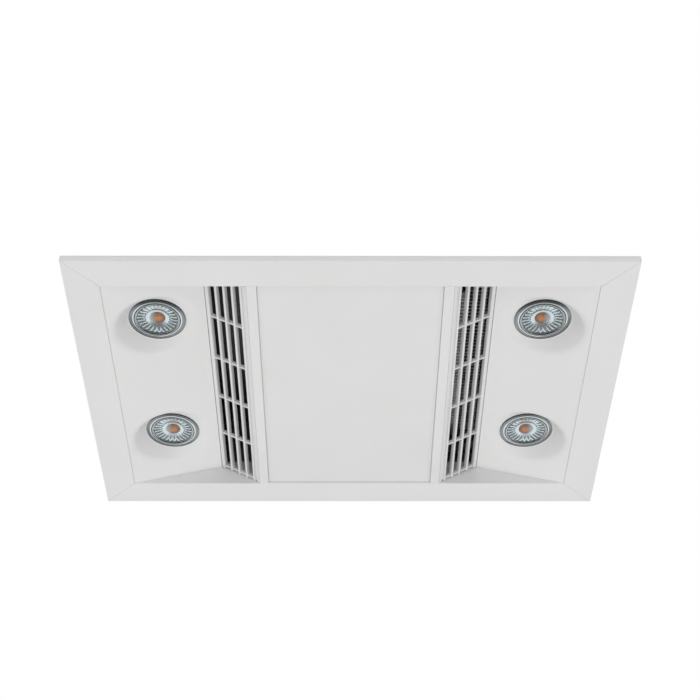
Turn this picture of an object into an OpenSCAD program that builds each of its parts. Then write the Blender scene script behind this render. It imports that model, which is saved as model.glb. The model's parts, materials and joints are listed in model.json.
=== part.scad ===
// Bathroom ceiling unit: a fan heater, an exhaust fan and four spot lamps behind one white fascia.
// Millimetres, +Z up. The origin is the middle of the unit on the ceiling plane. The fascia hangs
// below the ceiling, and the steel housing stands above it. Front is -Y, the duct leaves at +Y.

/* [Fascia] */
// Length of the fascia, left to right
fascia_l = 600; // [590:1:640]
// Width of the fascia, front to rear
fascia_w = 416; // [406:1:450]
// How far the fascia hangs below the ceiling
face_drop = 8; // [7:0.5:11]
// Width of the visible border
border_w = 37; // [35:0.5:40]
// Wall of the border extrusion
frame_t = 1.8; // [1.4:0.1:2.2]
// Depth of the recess, from the face up to its deepest line
recess_d = 25; // [22:0.5:28]
// Height of the end walls above the deepest line
web_over = 9; // [8:0.5:12]
// Gap between neighbouring fascia parts
fit = 0.3; // [0.2:0.05:0.5]
// Open line at each mitre
mitre_gap = 0.2; // [0.1:0.05:0.4]
// Thickness of the corner keys
key_t = 2; // [1.5:0.1:2.4]
// Length of each leg of a corner key
key_leg = 46; // [30:1:60]

/* [Centre strip] */
// Width of the opening between the two centre rails
centre_w = 197.8; // [190:0.2:202]
// Width of each centre rail
rail_w = 10.9; // [9:0.1:12]
// How far the centre panel sits above the face
centre_recess = 2.5; // [1.5:0.1:3.5]
// Wall of the centre panel
tray_t = 2; // [1.6:0.1:2.6]
// Wall of the centre rails
rail_t = 1.5; // [1.2:0.1:1.8]

/* [Grilles] */
// Horizontal run of each sloping grille
grille_run = 47.5; // [44:0.5:50]
// Distance from slat to slat along the slope
slat_pitch = 10.57; // [9.5:0.01:12]
// Thickness of a slat
slat_t = 2.5; // [1.8:0.1:3]
// Depth of a slat, square to the slope
slat_d = 5.5; // [4.5:0.5:6.5]
// Width of the top slat, which borders the lamp panel
top_slat = 4.1; // [3.2:0.1:5]
// Thickness of the cross ties
tie_t = 1.8; // [1.2:0.1:2.4]
// How far the ties sit behind the slat fronts
tie_back = 1; // [0.5:0.5:4]
// Number of bays between the cross ties
tie_bays = 5; // [3:1:7]

/* [Lamp panels] */
// Sheet thickness of the lamp panels
panel_t = 1.2; // [1:0.1:1.6]
// Distance between front and rear lamps
lamp_pitch = 193; // [180:1:200]
// How far the lamps stand outside the middle of their panel
lamp_shift = 1.3; // [0:0.1:2.5]
// Radius of the dish rim around each lamp
dish_r = 44.8; // [42:0.1:46]
// Outer radius of the bright bezel
bezel_r = 31.8; // [30.5:0.1:33]
// Height from the lamp seat to the deepest line
seat_drop = 0.9; // [0.5:0.1:2]

/* [Lamps] */
// Radius of a lamp at its face
lamp_r = 25; // [24:0.1:25.2]
// Length of a lamp from its face to its base
lamp_len = 48.2; // [44:0.1:52]
// How far the lamp face stands below its seat
lamp_proud = 2.2; // [1.5:0.1:3]
// Distance between the two lamp pins
pin_pitch = 10; // [9:0.1:11]
// Radius of a pin's neck
pin_r = 1.5; // [1.2:0.1:1.7]
// Radius of a pin's head
pin_head_r = 2.4; // [2.2:0.1:2.6]
// Angle the lamp turns to lock
twist_deg = 20; // [15:1:25]

/* [Housing] */
// Height of the housing above the ceiling
housing_h = 200; // [196:1:215]
// Thickness of the housing sheet
sheet = 1; // [0.8:0.1:1.2]
// Room for the spring clips between fascia and housing
clip_room = 4.3; // [4:0.1:5]
// Width of the ceiling flange
flange_w = 18; // [16:0.5:20]
// Radius of the screw holes in the flange
screw_hole_r = 2.75; // [2.25:0.05:3.25]
// Distance between the screw holes, front to rear
screw_pitch = 240; // [200:1:280]
// Underside of the deck that carries the exhaust fan
deck_z = 97; // [96:0.5:99]

/* [Exhaust fan] */
// Radius of the impeller
impeller_r = 75.5; // [72:0.5:77]
// Room between the impeller blades and the roof
blade_room = 19; // [18:0.5:24]
// Number of impeller blades
blade_count = 36; // [24:2:44]
// Radius of the inlet throat
throat_r = 57; // [54:0.5:58]
// Smallest radius of the scroll
scroll_r = 82; // [80:0.5:84]
// Largest radius of the scroll
scroll_max = 125; // [118:0.5:127]
// Sideways place of the exhaust fan
fan_x = -30; // [-31:0.5:-24]
// Front to rear place of the exhaust fan
fan_y = -20; // [-30:1:-10]
// Radius of the exhaust fan's shaft
shaft_r = 3; // [2.5:0.1:3.5]
// Running clearance on each shaft and spindle
run_fit = 0.05; // [0.02:0.01:0.09]
// Radius of the exhaust motor
motor_r = 38; // [34:0.5:42]

/* [Duct spigot] */
// Gap between the duct spigot and the deck, and the same to the roof
duct_room = 1.5; // [1.5:0.1:3.5]
// Wall of the duct spigot
duct_t = 1.4; // [1.2:0.1:2]
// Length of the duct spigot
duct_l = 60; // [58:1:80]
// Thickness of a damper flap
flap_t = 1.2; // [1:0.1:1.5]
// Radius of the damper spindle
spindle_r = 1.5; // [1.2:0.1:2]

/* [Warm air fan] */
// Radius of the cross-flow rotor
rotor_r = 22; // [20:0.5:22.5]
// Clearance between the rotor and its casing
rotor_gap = 3; // [2.5:0.1:3.5]
// Number of rotor blades
rotor_blades = 24; // [16:1:30]
// Room kept for the fan motor behind the casing
motor_room = 52; // [50:0.5:56]
// Radius of the rotor axles
axle_r = 2.5; // [2:0.1:3]
// Height of the heating element
element_h = 15; // [12:0.5:15.5]
// Distance from fin to fin in the heating element
fin_pitch = 5.5; // [4.5:0.1:8]

/* [Terminal box] */
// Length of the terminal box
box_l = 90; // [80:1:110]
// Height of the terminal box
box_h = 60; // [52:1:70]
// Depth of the terminal box
box_d = 30; // [28:1:40]
// Radius of the cable hole in the gland
cable_r = 4; // [3:0.1:5]

/* [Hidden] */

eps = 0.01;
white = [0.88, 0.88, 0.88];
zinc = [0.7, 0.71, 0.72];
bright = [0.62, 0.64, 0.66];
plastic = [0.2, 0.2, 0.21];

// Fascia: outer edge, opening, face, deepest line and top of the end walls
fx = fascia_l / 2;
fy = fascia_w / 2;
ox = fx - border_w;
oy = fy - border_w;
face_z = -face_drop;
plate_z = face_z + frame_t;
deep_z = face_z + recess_d;
web_top = deep_z + web_over;
rail_in = centre_w / 2;
rail_out = rail_in + rail_w;
deep_x = rail_out + grille_run;

// Key channel in the back of the border
key_u = 9;
key_w = 14;
key_gap = 0.2;
rib_t = 1.2;
hook_l = 1.5;
hook_t = 0.9;

// Lamp panel: lower surface as a height over x, and its vertical sheet thickness
panel_lift = 0.4;
panel_slope = (deep_z - face_z - panel_lift) / (ox - deep_x);
panel_rise = panel_t / cos(atan(panel_slope));
end_flange_z = deep_z + 3;
lamp_x = (ox + deep_x) / 2 + lamp_shift;
lamp_y = lamp_pitch / 2;
seat_z = deep_z - seat_drop;
seat_r = bezel_r + 0.4;
collar_r = lamp_r + 2.3;
collar_t = 1.1;

// Grille: slope angle, length along the slope and number of slats
grille_deg = atan(recess_d / grille_run);
grille_len = sqrt(grille_run * grille_run + recess_d * recess_d);
grille_top = 0.8;
first_edge = grille_top + top_slat;
last_slot = 3;
slat_count = 1 + floor((grille_len - first_edge - last_slot) / slat_pitch);
last_edge = first_edge + slat_pitch * (slat_count - 1);
grille_end = grille_len + 2;
slat_end = oy - 1.1;
tie_y = oy - 2.4;
edge_t = slat_d - 2;
web_back = 1.8;

// Lamp: heights above the seat
lamp_base = lamp_len - lamp_proud;
neck_l = 3.9;
head_l = 2.3;
holder_z = lamp_base + 0.4;
holder_floor = 3;
holder_h = 20;
holder_r = 14.5;
strap_w = 14;

// Housing: inner half sizes
in_x = ox + frame_t + clip_room;
in_y = oy + frame_t + clip_room;
deck_top = deck_z + sheet;
baffle_x = deep_x + 8;
clip_x = fx - 110;
clip_w = 12;
clip_t = 0.6;
clip_nose = 9;
clip_slot_h = 10.5;

// Exhaust fan: heights and the scroll's outlet
bell_r = 8;
bell_t = 1.2;
bell_flange = 9;
bell_z = deck_z + bell_r - bell_t;
impeller_z = bell_z + 1.2;
ring_t = 1.5;
eye_r = impeller_r - 14.5;
dish_in_r = eye_r - 11;
roof_z = housing_h - sheet;
blade_h = roof_z - impeller_z - blade_room;
bracket_t = 2;
bush_h = 9;
bush_r = 7;
bracket_z = roof_z - bush_h - bracket_t;
motor_h = 38;
motor_z = bracket_z - motor_h;
boss_l = 6;
hub_z = motor_z - boss_l - 8;
hub_r = 8;
hub_l = 6;
arm_w = 16;
arm_r = motor_r + 20;
scroll_top = roof_z - fit;
duct_r = (roof_z - deck_top) / 2 - duct_room;
duct_in_r = duct_r - duct_t;
duct_lip = 2;
outlet_w = 2 * duct_in_r + 1.8;
outlet_x = fan_x - scroll_max;
tongue_x = outlet_x + outlet_w;
tongue_a = acos((tongue_x - fan_x) / scroll_r);
duct_x = outlet_x + outlet_w / 2;
duct_z = deck_top + duct_room + duct_r;
wall_y = in_y + sheet;
spindle_y = wall_y + 13;
flap_r = duct_in_r - 0.7;
knuckle_r = spindle_r + 1.1;
flap_back = 1.8;
flap_start = knuckle_r + 0.7;
knuckle_l = 0.21 * duct_in_r;
knuckle_near = 0.42 * duct_in_r;
knuckle_far = 0.71 * duct_in_r;
spring_l = 0.38 * duct_in_r;

// Warm air fan: element frame, rotor axis and the casing's two cheeks
heat_x0 = rail_out;
heat_x1 = deep_x + 4.5;
heat_z0 = web_top + 1.5;
heat_z1 = heat_z0 + element_h + 1;
axis_x = (heat_x0 + heat_x1) / 2;
axis_z = heat_z1 + 25.5;
casing_r = rotor_r + rotor_gap;
cheek_y0 = -in_y + 27;
cheek_y1 = in_y - motor_room;
rotor_y0 = cheek_y0 + sheet + 1.1;
rotor_y1 = cheek_y1 - 1.1;
stack_y = cheek_y1 + sheet + 11;
stack_t = 18;
stack_r = 12;
stack_half = 25;
stack_h = 54;
leg_w = 10;
leg_z = axis_z - 35;
neck_r = 7;

// Terminal box on the rear wall
box_x = in_x - box_l - 50;
box_z = duct_z - box_h / 2;
box_t = 1.2;
wire_x = 14;
wire_down = 12;
wire_r = 6;
gland_r = 8;
gland_z = duct_z;
gland_y = wall_y + box_d / 2;

// Lower surface of the right-hand lamp panel at x
function panel_z(x) = face_z + panel_lift + (ox - x) * panel_slope;

// Fascia

module border_section(web_h) {
    translate([0, face_z]) square([border_w, frame_t]);
    translate([0, face_z]) square([frame_t, face_drop]);
    translate([border_w - frame_t, face_z]) square([frame_t, web_h]);
    for (side = [0, 1])
        translate([key_u + key_w / 2, plate_z]) mirror([side, 0])
            translate([key_w / 2 + key_gap, 0]) {
                square([rib_t, key_t + key_gap + hook_t]);
                translate([-hook_l, key_t + key_gap]) square([hook_l + rib_t, hook_t]);
            }
}

// One border along X with its outer edge at the front, cut to the mitre at both ends
module border(length, half, web_h) {
    reach = border_w + 1;
    gap = mitre_gap / 2;
    intersection() {
        translate([-length / 2, -half, 0]) rotate([90, 0, 90])
            linear_extrude(length) border_section(web_h);
        translate([0, -half, face_z - 1]) linear_extrude(web_h + 2)
            polygon([
                [-length / 2 + gap, 0], [length / 2 - gap, 0],
                [length / 2 - gap - reach, reach], [-length / 2 + gap + reach, reach]
            ]);
    }
}

module frame_front() { color(white) border(fascia_l, fy, web_top - face_z); }

module frame_rear() { color(white) mirror([0, 1, 0]) border(fascia_l, fy, web_top - face_z); }

module frame_left() { color(white) rotate(-90) border(fascia_w, fx, panel_lift + 10); }

module frame_right() { color(white) rotate(90) border(fascia_w, fx, panel_lift + 10); }

module corner_keys() {
    color(zinc) for (sx = [-1, 1], sy = [-1, 1])
        translate([sx * (fx - key_u), sy * (fy - key_u), plate_z]) mirror([(sx + 1) / 2, 0, 0])
            mirror([0, (sy + 1) / 2, 0]) {
                cube([key_leg, key_w, key_t]);
                cube([key_w, key_leg, key_t]);
            }
}

// Spring clips: a hook over the end wall and a nose that snaps into a slot in the housing
module fascia_clips() {
    web_y = oy + frame_t;
    nose_z = web_top - clip_nose;
    nose_y = in_y + sheet + 0.4;
    hook_d = 5;
    tail_z = nose_z - 6;
    toe_z = nose_z - 8;
    color(zinc) for (sy = [0, 1], x = [-clip_x, 0, clip_x])
        mirror([0, sy, 0]) translate([x - clip_w / 2, 0, 0]) rotate([90, 0, 90]) linear_extrude(clip_w)
            polygon([
                [oy - clip_t, web_top - hook_d], [oy, web_top - hook_d], [oy, web_top],
                [web_y, web_top], [web_y, tail_z], [web_y + clip_t, tail_z],
                [web_y + clip_t, web_top - 1], [nose_y, nose_z + 1], [nose_y, nose_z],
                [web_y + 1.4, toe_z], [web_y + 1.4 + clip_t, toe_z - 0.4],
                [nose_y + clip_t, nose_z - 0.2], [nose_y + clip_t, nose_z + 1.2],
                [web_y + 1, web_top + clip_t], [oy - clip_t, web_top + clip_t]
            ]);
}

// Right-hand lamp panel: sloping sheet, returned edges, end flanges and two dished lamp seats
module panel_sheet() {
    edge_x = ox - fit;
    back_x = edge_x - panel_t;
    lip_x = deep_x + panel_t;
    rotate([90, 0, 0]) translate([0, 0, -oy + fit]) linear_extrude(2 * (oy - fit))
        polygon([
            [edge_x, panel_z(edge_x)], [deep_x, deep_z], [deep_x, web_top], [lip_x, web_top],
            [lip_x, panel_z(lip_x) + panel_rise], [back_x, panel_z(back_x) + panel_rise],
            [back_x, panel_lift + 1], [edge_x, panel_lift + 1]
        ]);
    for (side = [0, 1])
        mirror([0, side, 0]) translate([0, oy - fit, 0]) rotate([90, 0, 0]) linear_extrude(panel_t)
            polygon([
                [edge_x, panel_z(edge_x)], [deep_x, deep_z],
                [deep_x, end_flange_z], [edge_x, end_flange_z]
            ]);
}

// Space of one dish, from the seat disc down to a rim that is round in plan and lies on the slope
module dish(grow, up, down) {
    hull() {
        translate([lamp_x, 0, seat_z + up - eps]) cylinder(r = seat_r + grow, h = eps, $fn = 40);
        intersection() {
            translate([lamp_x, 0, face_z - 10]) cylinder(r = dish_r + grow, h = recess_d + 20, $fn = 40);
            rotate([90, 0, 0]) translate([0, 0, -60]) linear_extrude(120)
                polygon([
                    [deep_x, panel_z(deep_x) + up - down], [ox, panel_z(ox) + up - down],
                    [ox, panel_z(ox) + up], [deep_x, panel_z(deep_x) + up]
                ]);
        }
    }
}

module lamp_panel() {
    difference() {
        union() {
            panel_sheet();
            for (sy = [-1, 1])
                translate([0, sy * lamp_y, 0]) dish(panel_t, panel_t, 0.2);
        }
        for (sy = [-1, 1]) translate([0, sy * lamp_y, 0]) {
            dish(0, 0, 0.6);
            translate([lamp_x, 0, seat_z - 5]) cylinder(r = collar_r + 0.3, h = 10, $fn = 64);
        }
    }
}

module lamp_panel_left() { color(white) mirror([1, 0, 0]) lamp_panel(); }

module lamp_panel_right() { color(white) lamp_panel(); }

// Left-hand grille: x runs down the slope from the deepest line, z runs into the unit
module grille() {
    difference() {
        grille_bars();
        translate([-rail_out - fit, -oy, face_z - 10]) cube([rail_w, 2 * oy, 2 * recess_d]);
    }
    // Lugs that rest on the lamp panel's returned edge
    for (sy = [-1, 0, 1])
        translate([-deep_x + fit, sy * tie_y * 0.6 - 6, deep_z + 2.2]) cube([4, 12, 2]);
}

module grille_bars() {
    translate([-deep_x, 0, deep_z]) rotate([0, grille_deg, 0]) {
        for (i = [0 : slat_count - 1]) {
            inner = first_edge + i * slat_pitch;
            width = i == 0 ? top_slat : slat_t;
            translate([inner - width, -slat_end, 0]) cube([width, 2 * slat_end, slat_d]);
        }
        translate([last_edge + last_slot, -slat_end, 0])
            cube([grille_end - last_edge - last_slot, 2 * slat_end, edge_t]);
        translate([last_edge - slat_t / 2, -tie_y, web_back])
            cube([last_slot + slat_t, 2 * tie_y, edge_t - web_back]);
        for (i = [0 : tie_bays])
            translate([grille_top, -tie_y + i * 2 * tie_y / tie_bays - tie_t / 2, tie_back])
                cube([grille_end - grille_top, tie_t, slat_d - tie_back]);
    }
}

module grille_left() { color(white) grille(); }

module grille_right() { color(white) mirror([1, 0, 0]) grille(); }

module centre_rail() {
    translate([rail_in, oy - fit, face_z]) rotate([90, 0, 0]) linear_extrude(2 * (oy - fit)) {
        square([rail_w, rail_t]);
        square([rail_t, 14]);
        translate([rail_w - rail_t, 0]) square([rail_t, 12]);
    }
}

module centre_rail_left() { color(white) mirror([1, 0, 0]) centre_rail(); }

module centre_rail_right() { color(white) centre_rail(); }

module centre_panel() {
    half_x = rail_in - fit;
    half_y = oy - fit;
    low = face_z + centre_recess;
    wall_h = 10;
    color(white) {
        difference() {
            translate([-half_x, -half_y, low]) cube([2 * half_x, 2 * half_y, wall_h]);
            translate([-half_x + tray_t, -half_y + tray_t, low + tray_t])
                cube([2 * (half_x - tray_t), 2 * (half_y - tray_t), wall_h]);
        }
        for (y = [-1, 0, 1])
            translate([-half_x, y * half_y / 2 - tray_t / 2, low]) cube([2 * half_x, tray_t, wall_h - 3]);
        for (x = [-1, 1])
            translate([x * half_x / 3 - tray_t / 2, -half_y, low]) cube([tray_t, 2 * half_y, wall_h - 3]);
    }
}

// Lamps

module at_lamp(sx, sy) { translate([sx * lamp_x, sy * lamp_y, seat_z]) children(); }

module bezel() {
    in_r = collar_r - collar_t;
    color(bright) rotate_extrude($fn = 96) polygon([
        [in_r, -0.6], [in_r + 0.8, -1.6], [bezel_r - 2.6, -1.9], [bezel_r - 0.8, -1.1],
        [bezel_r, -0.4], [bezel_r, 0], [collar_r, 0], [collar_r, 9], [in_r, 9]
    ]);
}

module bezel_front_left() { at_lamp(-1, -1) bezel(); }

module bezel_front_right() { at_lamp(1, -1) bezel(); }

module bezel_rear_left() { at_lamp(-1, 1) bezel(); }

module bezel_rear_right() { at_lamp(1, 1) bezel(); }

// Spot lamp with a twist base: cup, light source on the cup's floor and two headed pins
module lamp() {
    board_z = 22.5;
    fin_t = 1.6;
    color(bright) {
        rotate_extrude($fn = 72) polygon([
            [lamp_r - 1.1, -lamp_proud], [lamp_r, -lamp_proud], [lamp_r, 2.8], [lamp_r - 1.4, 3.6],
            [15.5, lamp_base - 13], [13, lamp_base - 10.5], [13, lamp_base], [0, lamp_base],
            [0, board_z], [7, board_z], [7, board_z + 1.5], [lamp_r - 10.5, board_z + 1.5],
            [lamp_r - 2.2, 1.5], [lamp_r - 1.1, 1.5]
        ]);
        for (a = [0 : 30 : 330]) rotate(a) rotate([90, 0, 0]) translate([0, 0, -fin_t / 2])
            linear_extrude(fin_t) polygon([
                [lamp_r - 6, 14], [lamp_r - 4, 16], [lamp_r - 6, lamp_base - 13], [15, lamp_base - 13]
            ]);
        for (s = [-1, 1]) translate([s * pin_pitch / 2, 0, lamp_base - 1]) {
            cylinder(r = pin_r, h = neck_l + 1 + eps, $fn = 24);
            translate([0, 0, neck_l + 1]) cylinder(r = pin_head_r, h = head_l, $fn = 32);
        }
    }
}

module lamp_front_left() { at_lamp(-1, -1) lamp(); }

module lamp_front_right() { at_lamp(1, -1) lamp(); }

module lamp_rear_left() { at_lamp(-1, 1) lamp(); }

module lamp_rear_right() { at_lamp(1, 1) lamp(); }

// Clear lens: a flat face on a tapered collimator with a hollow over the light source
module lens() {
    face = -lamp_proud + 0.2;
    color([0.85, 0.9, 0.93, 0.5]) rotate_extrude($fn = 72) polygon([
        [0, face], [lamp_r - 1.5, face], [lamp_r - 1.3, face + 0.3], [lamp_r - 1.3, 1.2],
        [lamp_r - 4, 1.2], [9, 20.5], [6.5, 20.5], [6, 12], [0, 10]
    ]);
}

module lens_front_left() { at_lamp(-1, -1) lens(); }

module lens_front_right() { at_lamp(1, -1) lens(); }

module lens_rear_left() { at_lamp(-1, 1) lens(); }

module lens_rear_right() { at_lamp(1, 1) lens(); }

// Lampholder: a round block with two keyhole slots; a lamp locks after twist_deg of turn
module holder() {
    steps = 5;
    slot_gap = 0.35;
    well_r = pin_pitch / 2 + pin_head_r + 1.6;
    well_h = 9;
    color([0.93, 0.92, 0.88]) translate([0, 0, holder_z]) difference() {
        cylinder(r = holder_r, h = holder_h, $fn = 72);
        translate([0, 0, holder_floor]) cylinder(r = well_r, h = well_h, $fn = 64);
        for (s = [0, 180]) {
            rotate(s - twist_deg) translate([pin_pitch / 2, 0, -1])
                cylinder(r = pin_head_r + slot_gap, h = holder_floor + 2, $fn = 32);
            for (i = [0 : steps])
                rotate(s - twist_deg * i / steps) translate([pin_pitch / 2, 0, -1])
                    cylinder(r = pin_r + slot_gap, h = holder_floor + 2, $fn = 24);
        }
    }
}

module holder_front_left() { at_lamp(-1, -1) holder(); }

module holder_front_right() { at_lamp(1, -1) holder(); }

module holder_rear_left() { at_lamp(-1, 1) holder(); }

module holder_rear_right() { at_lamp(1, 1) holder(); }

// A strap over each lamp, from the back of the lamp seat, with the lampholder under its bridge
module lamp_brackets() {
    top = holder_z + holder_h;
    leg_y = seat_r + panel_t;
    foot = 4.8;
    color(zinc) for (sx = [-1, 1], sy = [-1, 1]) at_lamp(sx, sy) {
        translate([-strap_w / 2, -leg_y, top]) cube([strap_w, 2 * leg_y, panel_t]);
        for (s = [0, 1]) mirror([0, s, 0]) {
            translate([-strap_w / 2, leg_y - panel_t, panel_t]) cube([strap_w, panel_t, top]);
            translate([-strap_w / 2, leg_y - foot, panel_t]) cube([strap_w, foot, panel_t]);
        }
    }
}

// Housing

module housing() {
    out_x = in_x + sheet;
    flange_x = out_x + flange_w;
    flange_y = wall_y + flange_w;
    color(zinc) difference() {
        union() {
            translate([-out_x, -wall_y, -sheet]) cube([2 * out_x, 2 * wall_y, housing_h + sheet]);
            translate([-flange_x, -flange_y, -sheet]) cube([2 * flange_x, 2 * flange_y, sheet]);
        }
        translate([-in_x, -in_y, -sheet - 1]) cube([2 * in_x, 2 * in_y, roof_z + sheet + 1]);
        for (sx = [-1, 1], sy = [-1, 1])
            translate([sx * (out_x + flange_w / 2), sy * screw_pitch / 2, -sheet - 1])
                cylinder(r = screw_hole_r, h = sheet + 2, $fn = 32);
        for (sy = [-1, 1], x = [-clip_x, 0, clip_x])
            translate([x - clip_w / 2 - 1, sy * (in_y + sheet / 2) - sheet, web_top - clip_nose - 5])
                cube([clip_w + 2, 2 * sheet, clip_slot_h]);
        translate([duct_x, in_y - 1, duct_z]) rotate([-90, 0, 0])
            cylinder(r = duct_in_r, h = sheet + 2, $fn = 96);
        translate([box_x + wire_x, in_y - 1, box_z + box_h - wire_down]) rotate([-90, 0, 0])
            cylinder(r = wire_r, h = sheet + 2, $fn = 32);
    }
}

// Deck under the exhaust fan, with upturned edges against the front and rear walls
module deck() {
    half_x = baffle_x + sheet;
    half_y = in_y - fit;
    edge_h = 14;
    edge_x = tongue_x + 6;
    color(zinc) difference() {
        union() {
            translate([-half_x, -half_y, deck_z]) cube([2 * half_x, 2 * half_y, sheet]);
            translate([-half_x, -half_y, deck_z]) cube([2 * half_x, sheet, edge_h]);
            translate([edge_x, half_y - sheet, deck_z])
                cube([half_x - edge_x, sheet, edge_h]);
        }
        translate([fan_x, fan_y, deck_z - 1]) cylinder(r = throat_r + bell_r + 0.5, h = sheet + 2, $fn = 96);
    }
}

// Right-hand baffle between the lamp bay and the air space: a wall on a foot
module baffle() {
    half_y = in_y - fit;
    foot_z = web_top + fit;
    translate([0, half_y, 0]) rotate([90, 0, 0]) linear_extrude(2 * half_y) {
        translate([deep_x - 2, foot_z]) square([baffle_x + sheet - deep_x + 2, sheet]);
        translate([baffle_x, foot_z]) square([sheet, deck_z - fit - foot_z]);
    }
}

module baffle_left() { color(zinc) mirror([1, 0, 0]) baffle(); }

module baffle_right() { color(zinc) baffle(); }

// Exhaust fan

module at_fan(z) { translate([fan_x, fan_y, z]) children(); }

// Bell-mouth ring hung under the deck
module inlet_ring() {
    bell_x = throat_r + bell_r;
    bell_in = bell_r - bell_t;
    flange_x = bell_x + bell_flange;
    color(plastic) at_fan(bell_z) rotate_extrude($fn = 96) polygon(concat(
        [for (a = [180 : 10 : 270]) [bell_x + bell_r * cos(a), bell_r * sin(a)]],
        [[flange_x, -bell_r], [flange_x, -bell_in]],
        [for (a = [270 : -10 : 180]) [bell_x + bell_in * cos(a), bell_in * sin(a)]]
    ));
}

function scroll_at(t, extra) =
    let (a = tongue_a - t * (tongue_a + 180), r = scroll_r + (scroll_max - scroll_r) * t + extra)
    [fan_x + r * cos(a), fan_y + r * sin(a)];

// Scroll casing: a spiral wall that opens into a straight outlet at the rear wall
module scroll_casing() {
    steps = 40;
    end_y = in_y - fit;
    tip = scroll_at(0, 0);
    color(zinc) translate([0, 0, deck_top]) linear_extrude(scroll_top - deck_top) {
        polygon(concat(
            [for (i = [0 : steps]) scroll_at(i / steps, 0)],
            [for (i = [steps : -1 : 0]) scroll_at(i / steps, sheet)]
        ));
        translate([outlet_x - sheet, fan_y - eps]) square([sheet, end_y - fan_y + eps]);
        translate([tongue_x, tip[1]]) square([sheet, end_y - tip[1]]);
        translate([tongue_x + sheet / 2, tip[1]]) circle(r = 1.6, $fn = 24);
    }
    // Fixing tabs on the deck
    color(zinc) for (a = [-150, -80, -10, 60])
        let (t = (tongue_a - a) / (tongue_a + 180), p = scroll_at(t, sheet - 0.6))
            translate([p[0], p[1], deck_top]) rotate(a) difference() {
                translate([0, -7, 0]) cube([13, 14, 1.2]);
                translate([8, 0, -1]) cylinder(r = 2, h = 4, $fn = 24);
            }
}

// Forward-curved wheel: bottom ring, blades, top plate and a dished hub around the motor
module exhaust_impeller() {
    chord = impeller_r - eye_r - 1;
    blade_t = 1;
    blade_curve = 0.24 * chord;
    top_z = blade_h;
    hub = hub_z - impeller_z;
    color(plastic) at_fan(impeller_z) {
        difference() {
            cylinder(r = impeller_r, h = ring_t, $fn = 96);
            translate([0, 0, -1]) cylinder(r = eye_r, h = ring_t + 2, $fn = 96);
        }
        for (i = [0 : blade_count - 1])
            rotate(i * 360 / blade_count) translate([eye_r + 0.5, 0, 0]) linear_extrude(top_z + ring_t / 2)
                polygon(concat(
                    [for (s = [0 : 0.5 : 1]) [chord * s, -blade_curve * s * s]],
                    [for (s = [1 : -0.5 : 0]) [chord * s, blade_t - blade_curve * s * s]]
                ));
        rotate_extrude($fn = 96) polygon([
            [impeller_r, top_z], [impeller_r, top_z + ring_t], [dish_in_r, top_z + ring_t],
            [dish_in_r, hub + ring_t], [shaft_r, hub + ring_t], [shaft_r, hub - hub_l],
            [hub_r, hub - hub_l], [hub_r, hub], [dish_in_r + ring_t, hub], [dish_in_r + ring_t, top_z]
        ]);
    }
}

module exhaust_shaft() {
    tip = hub_z - hub_l - 2;
    color(bright) at_fan(tip) cylinder(r = shaft_r, h = motor_z + 20 - tip, $fn = 48);
}

module exhaust_motor() {
    boss_r = 10;
    rib_end = 4;
    bore_top = 25;
    color(zinc) at_fan(motor_z) difference() {
        union() {
            cylinder(r = motor_r, h = motor_h, $fn = 96);
            translate([0, 0, -boss_l]) cylinder(r = boss_r, h = boss_l + 1, $fn = 48);
            for (a = [0 : 30 : 330]) rotate(a) translate([motor_r - 1, -1, rib_end])
                cube([3, 2, motor_h - 2 * rib_end]);
        }
        translate([0, 0, -boss_l - 1]) cylinder(r = shaft_r + run_fit, h = boss_l + 1 + bore_top, $fn = 48);
    }
}

// Three arms over the motor; rubber bushes hang them from the roof
module motor_bracket() {
    color(zinc) at_fan(bracket_z) {
        cylinder(r = motor_r - 4, h = bracket_t, $fn = 96);
        for (a = [90, 210, 330]) rotate(a) difference() {
            translate([0, -arm_w / 2, 0]) cube([arm_r + arm_w / 2, arm_w, bracket_t]);
            translate([arm_r, 0, -1]) cylinder(r = 3, h = bracket_t + 2, $fn = 32);
        }
    }
}

module motor_bushes() {
    color(plastic) at_fan(bracket_z + bracket_t) for (a = [90, 210, 330])
        rotate(a) translate([arm_r, 0, 0]) difference() {
            cylinder(r = bush_r, h = bush_h, $fn = 48);
            translate([0, 0, -1]) cylinder(r = 2.2, h = bush_h + 2, $fn = 32);
        }
}

// Duct spigot, seen along +Y: z of each child is the distance out from the rear wall

module at_duct() { translate([duct_x, wall_y, duct_z]) rotate([-90, 0, 0]) children(); }

module duct_spigot() {
    seat = spindle_y - wall_y - flap_back;
    stop_h = 2;
    stop_w = 2.6;
    color(zinc) difference() {
        at_duct() {
            difference() {
                union() {
                    cylinder(r = duct_r + duct_lip, h = duct_t, $fn = 96);
                    cylinder(r = duct_r, h = duct_l, $fn = 96);
                }
                translate([0, 0, -1]) cylinder(r = duct_in_r, h = duct_l + 2, $fn = 96);
            }
            // Stop ring for the closed flaps
            translate([0, 0, seat - stop_h - fit]) difference() {
                cylinder(r = duct_in_r + 0.4, h = stop_h, $fn = 96);
                translate([0, 0, -1]) cylinder(r = duct_in_r - stop_w, h = stop_h + 2, $fn = 96);
            }
        }
        translate([duct_x, spindle_y, duct_z - duct_r - 5])
            cylinder(r = spindle_r, h = 2 * duct_r + 10, $fn = 32);
    }
}

module damper_spindle() {
    half = duct_r - 0.4;
    color(bright) translate([duct_x, spindle_y, duct_z - half])
        cylinder(r = spindle_r, h = 2 * half, $fn = 32);
}

module damper_spring() {
    color(bright) translate([duct_x, spindle_y, duct_z - spring_l / 2]) difference() {
        cylinder(r = knuckle_r, h = spring_l, $fn = 32);
        translate([0, 0, -1]) cylinder(r = spindle_r, h = spring_l + 2, $fn = 32);
    }
}

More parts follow.
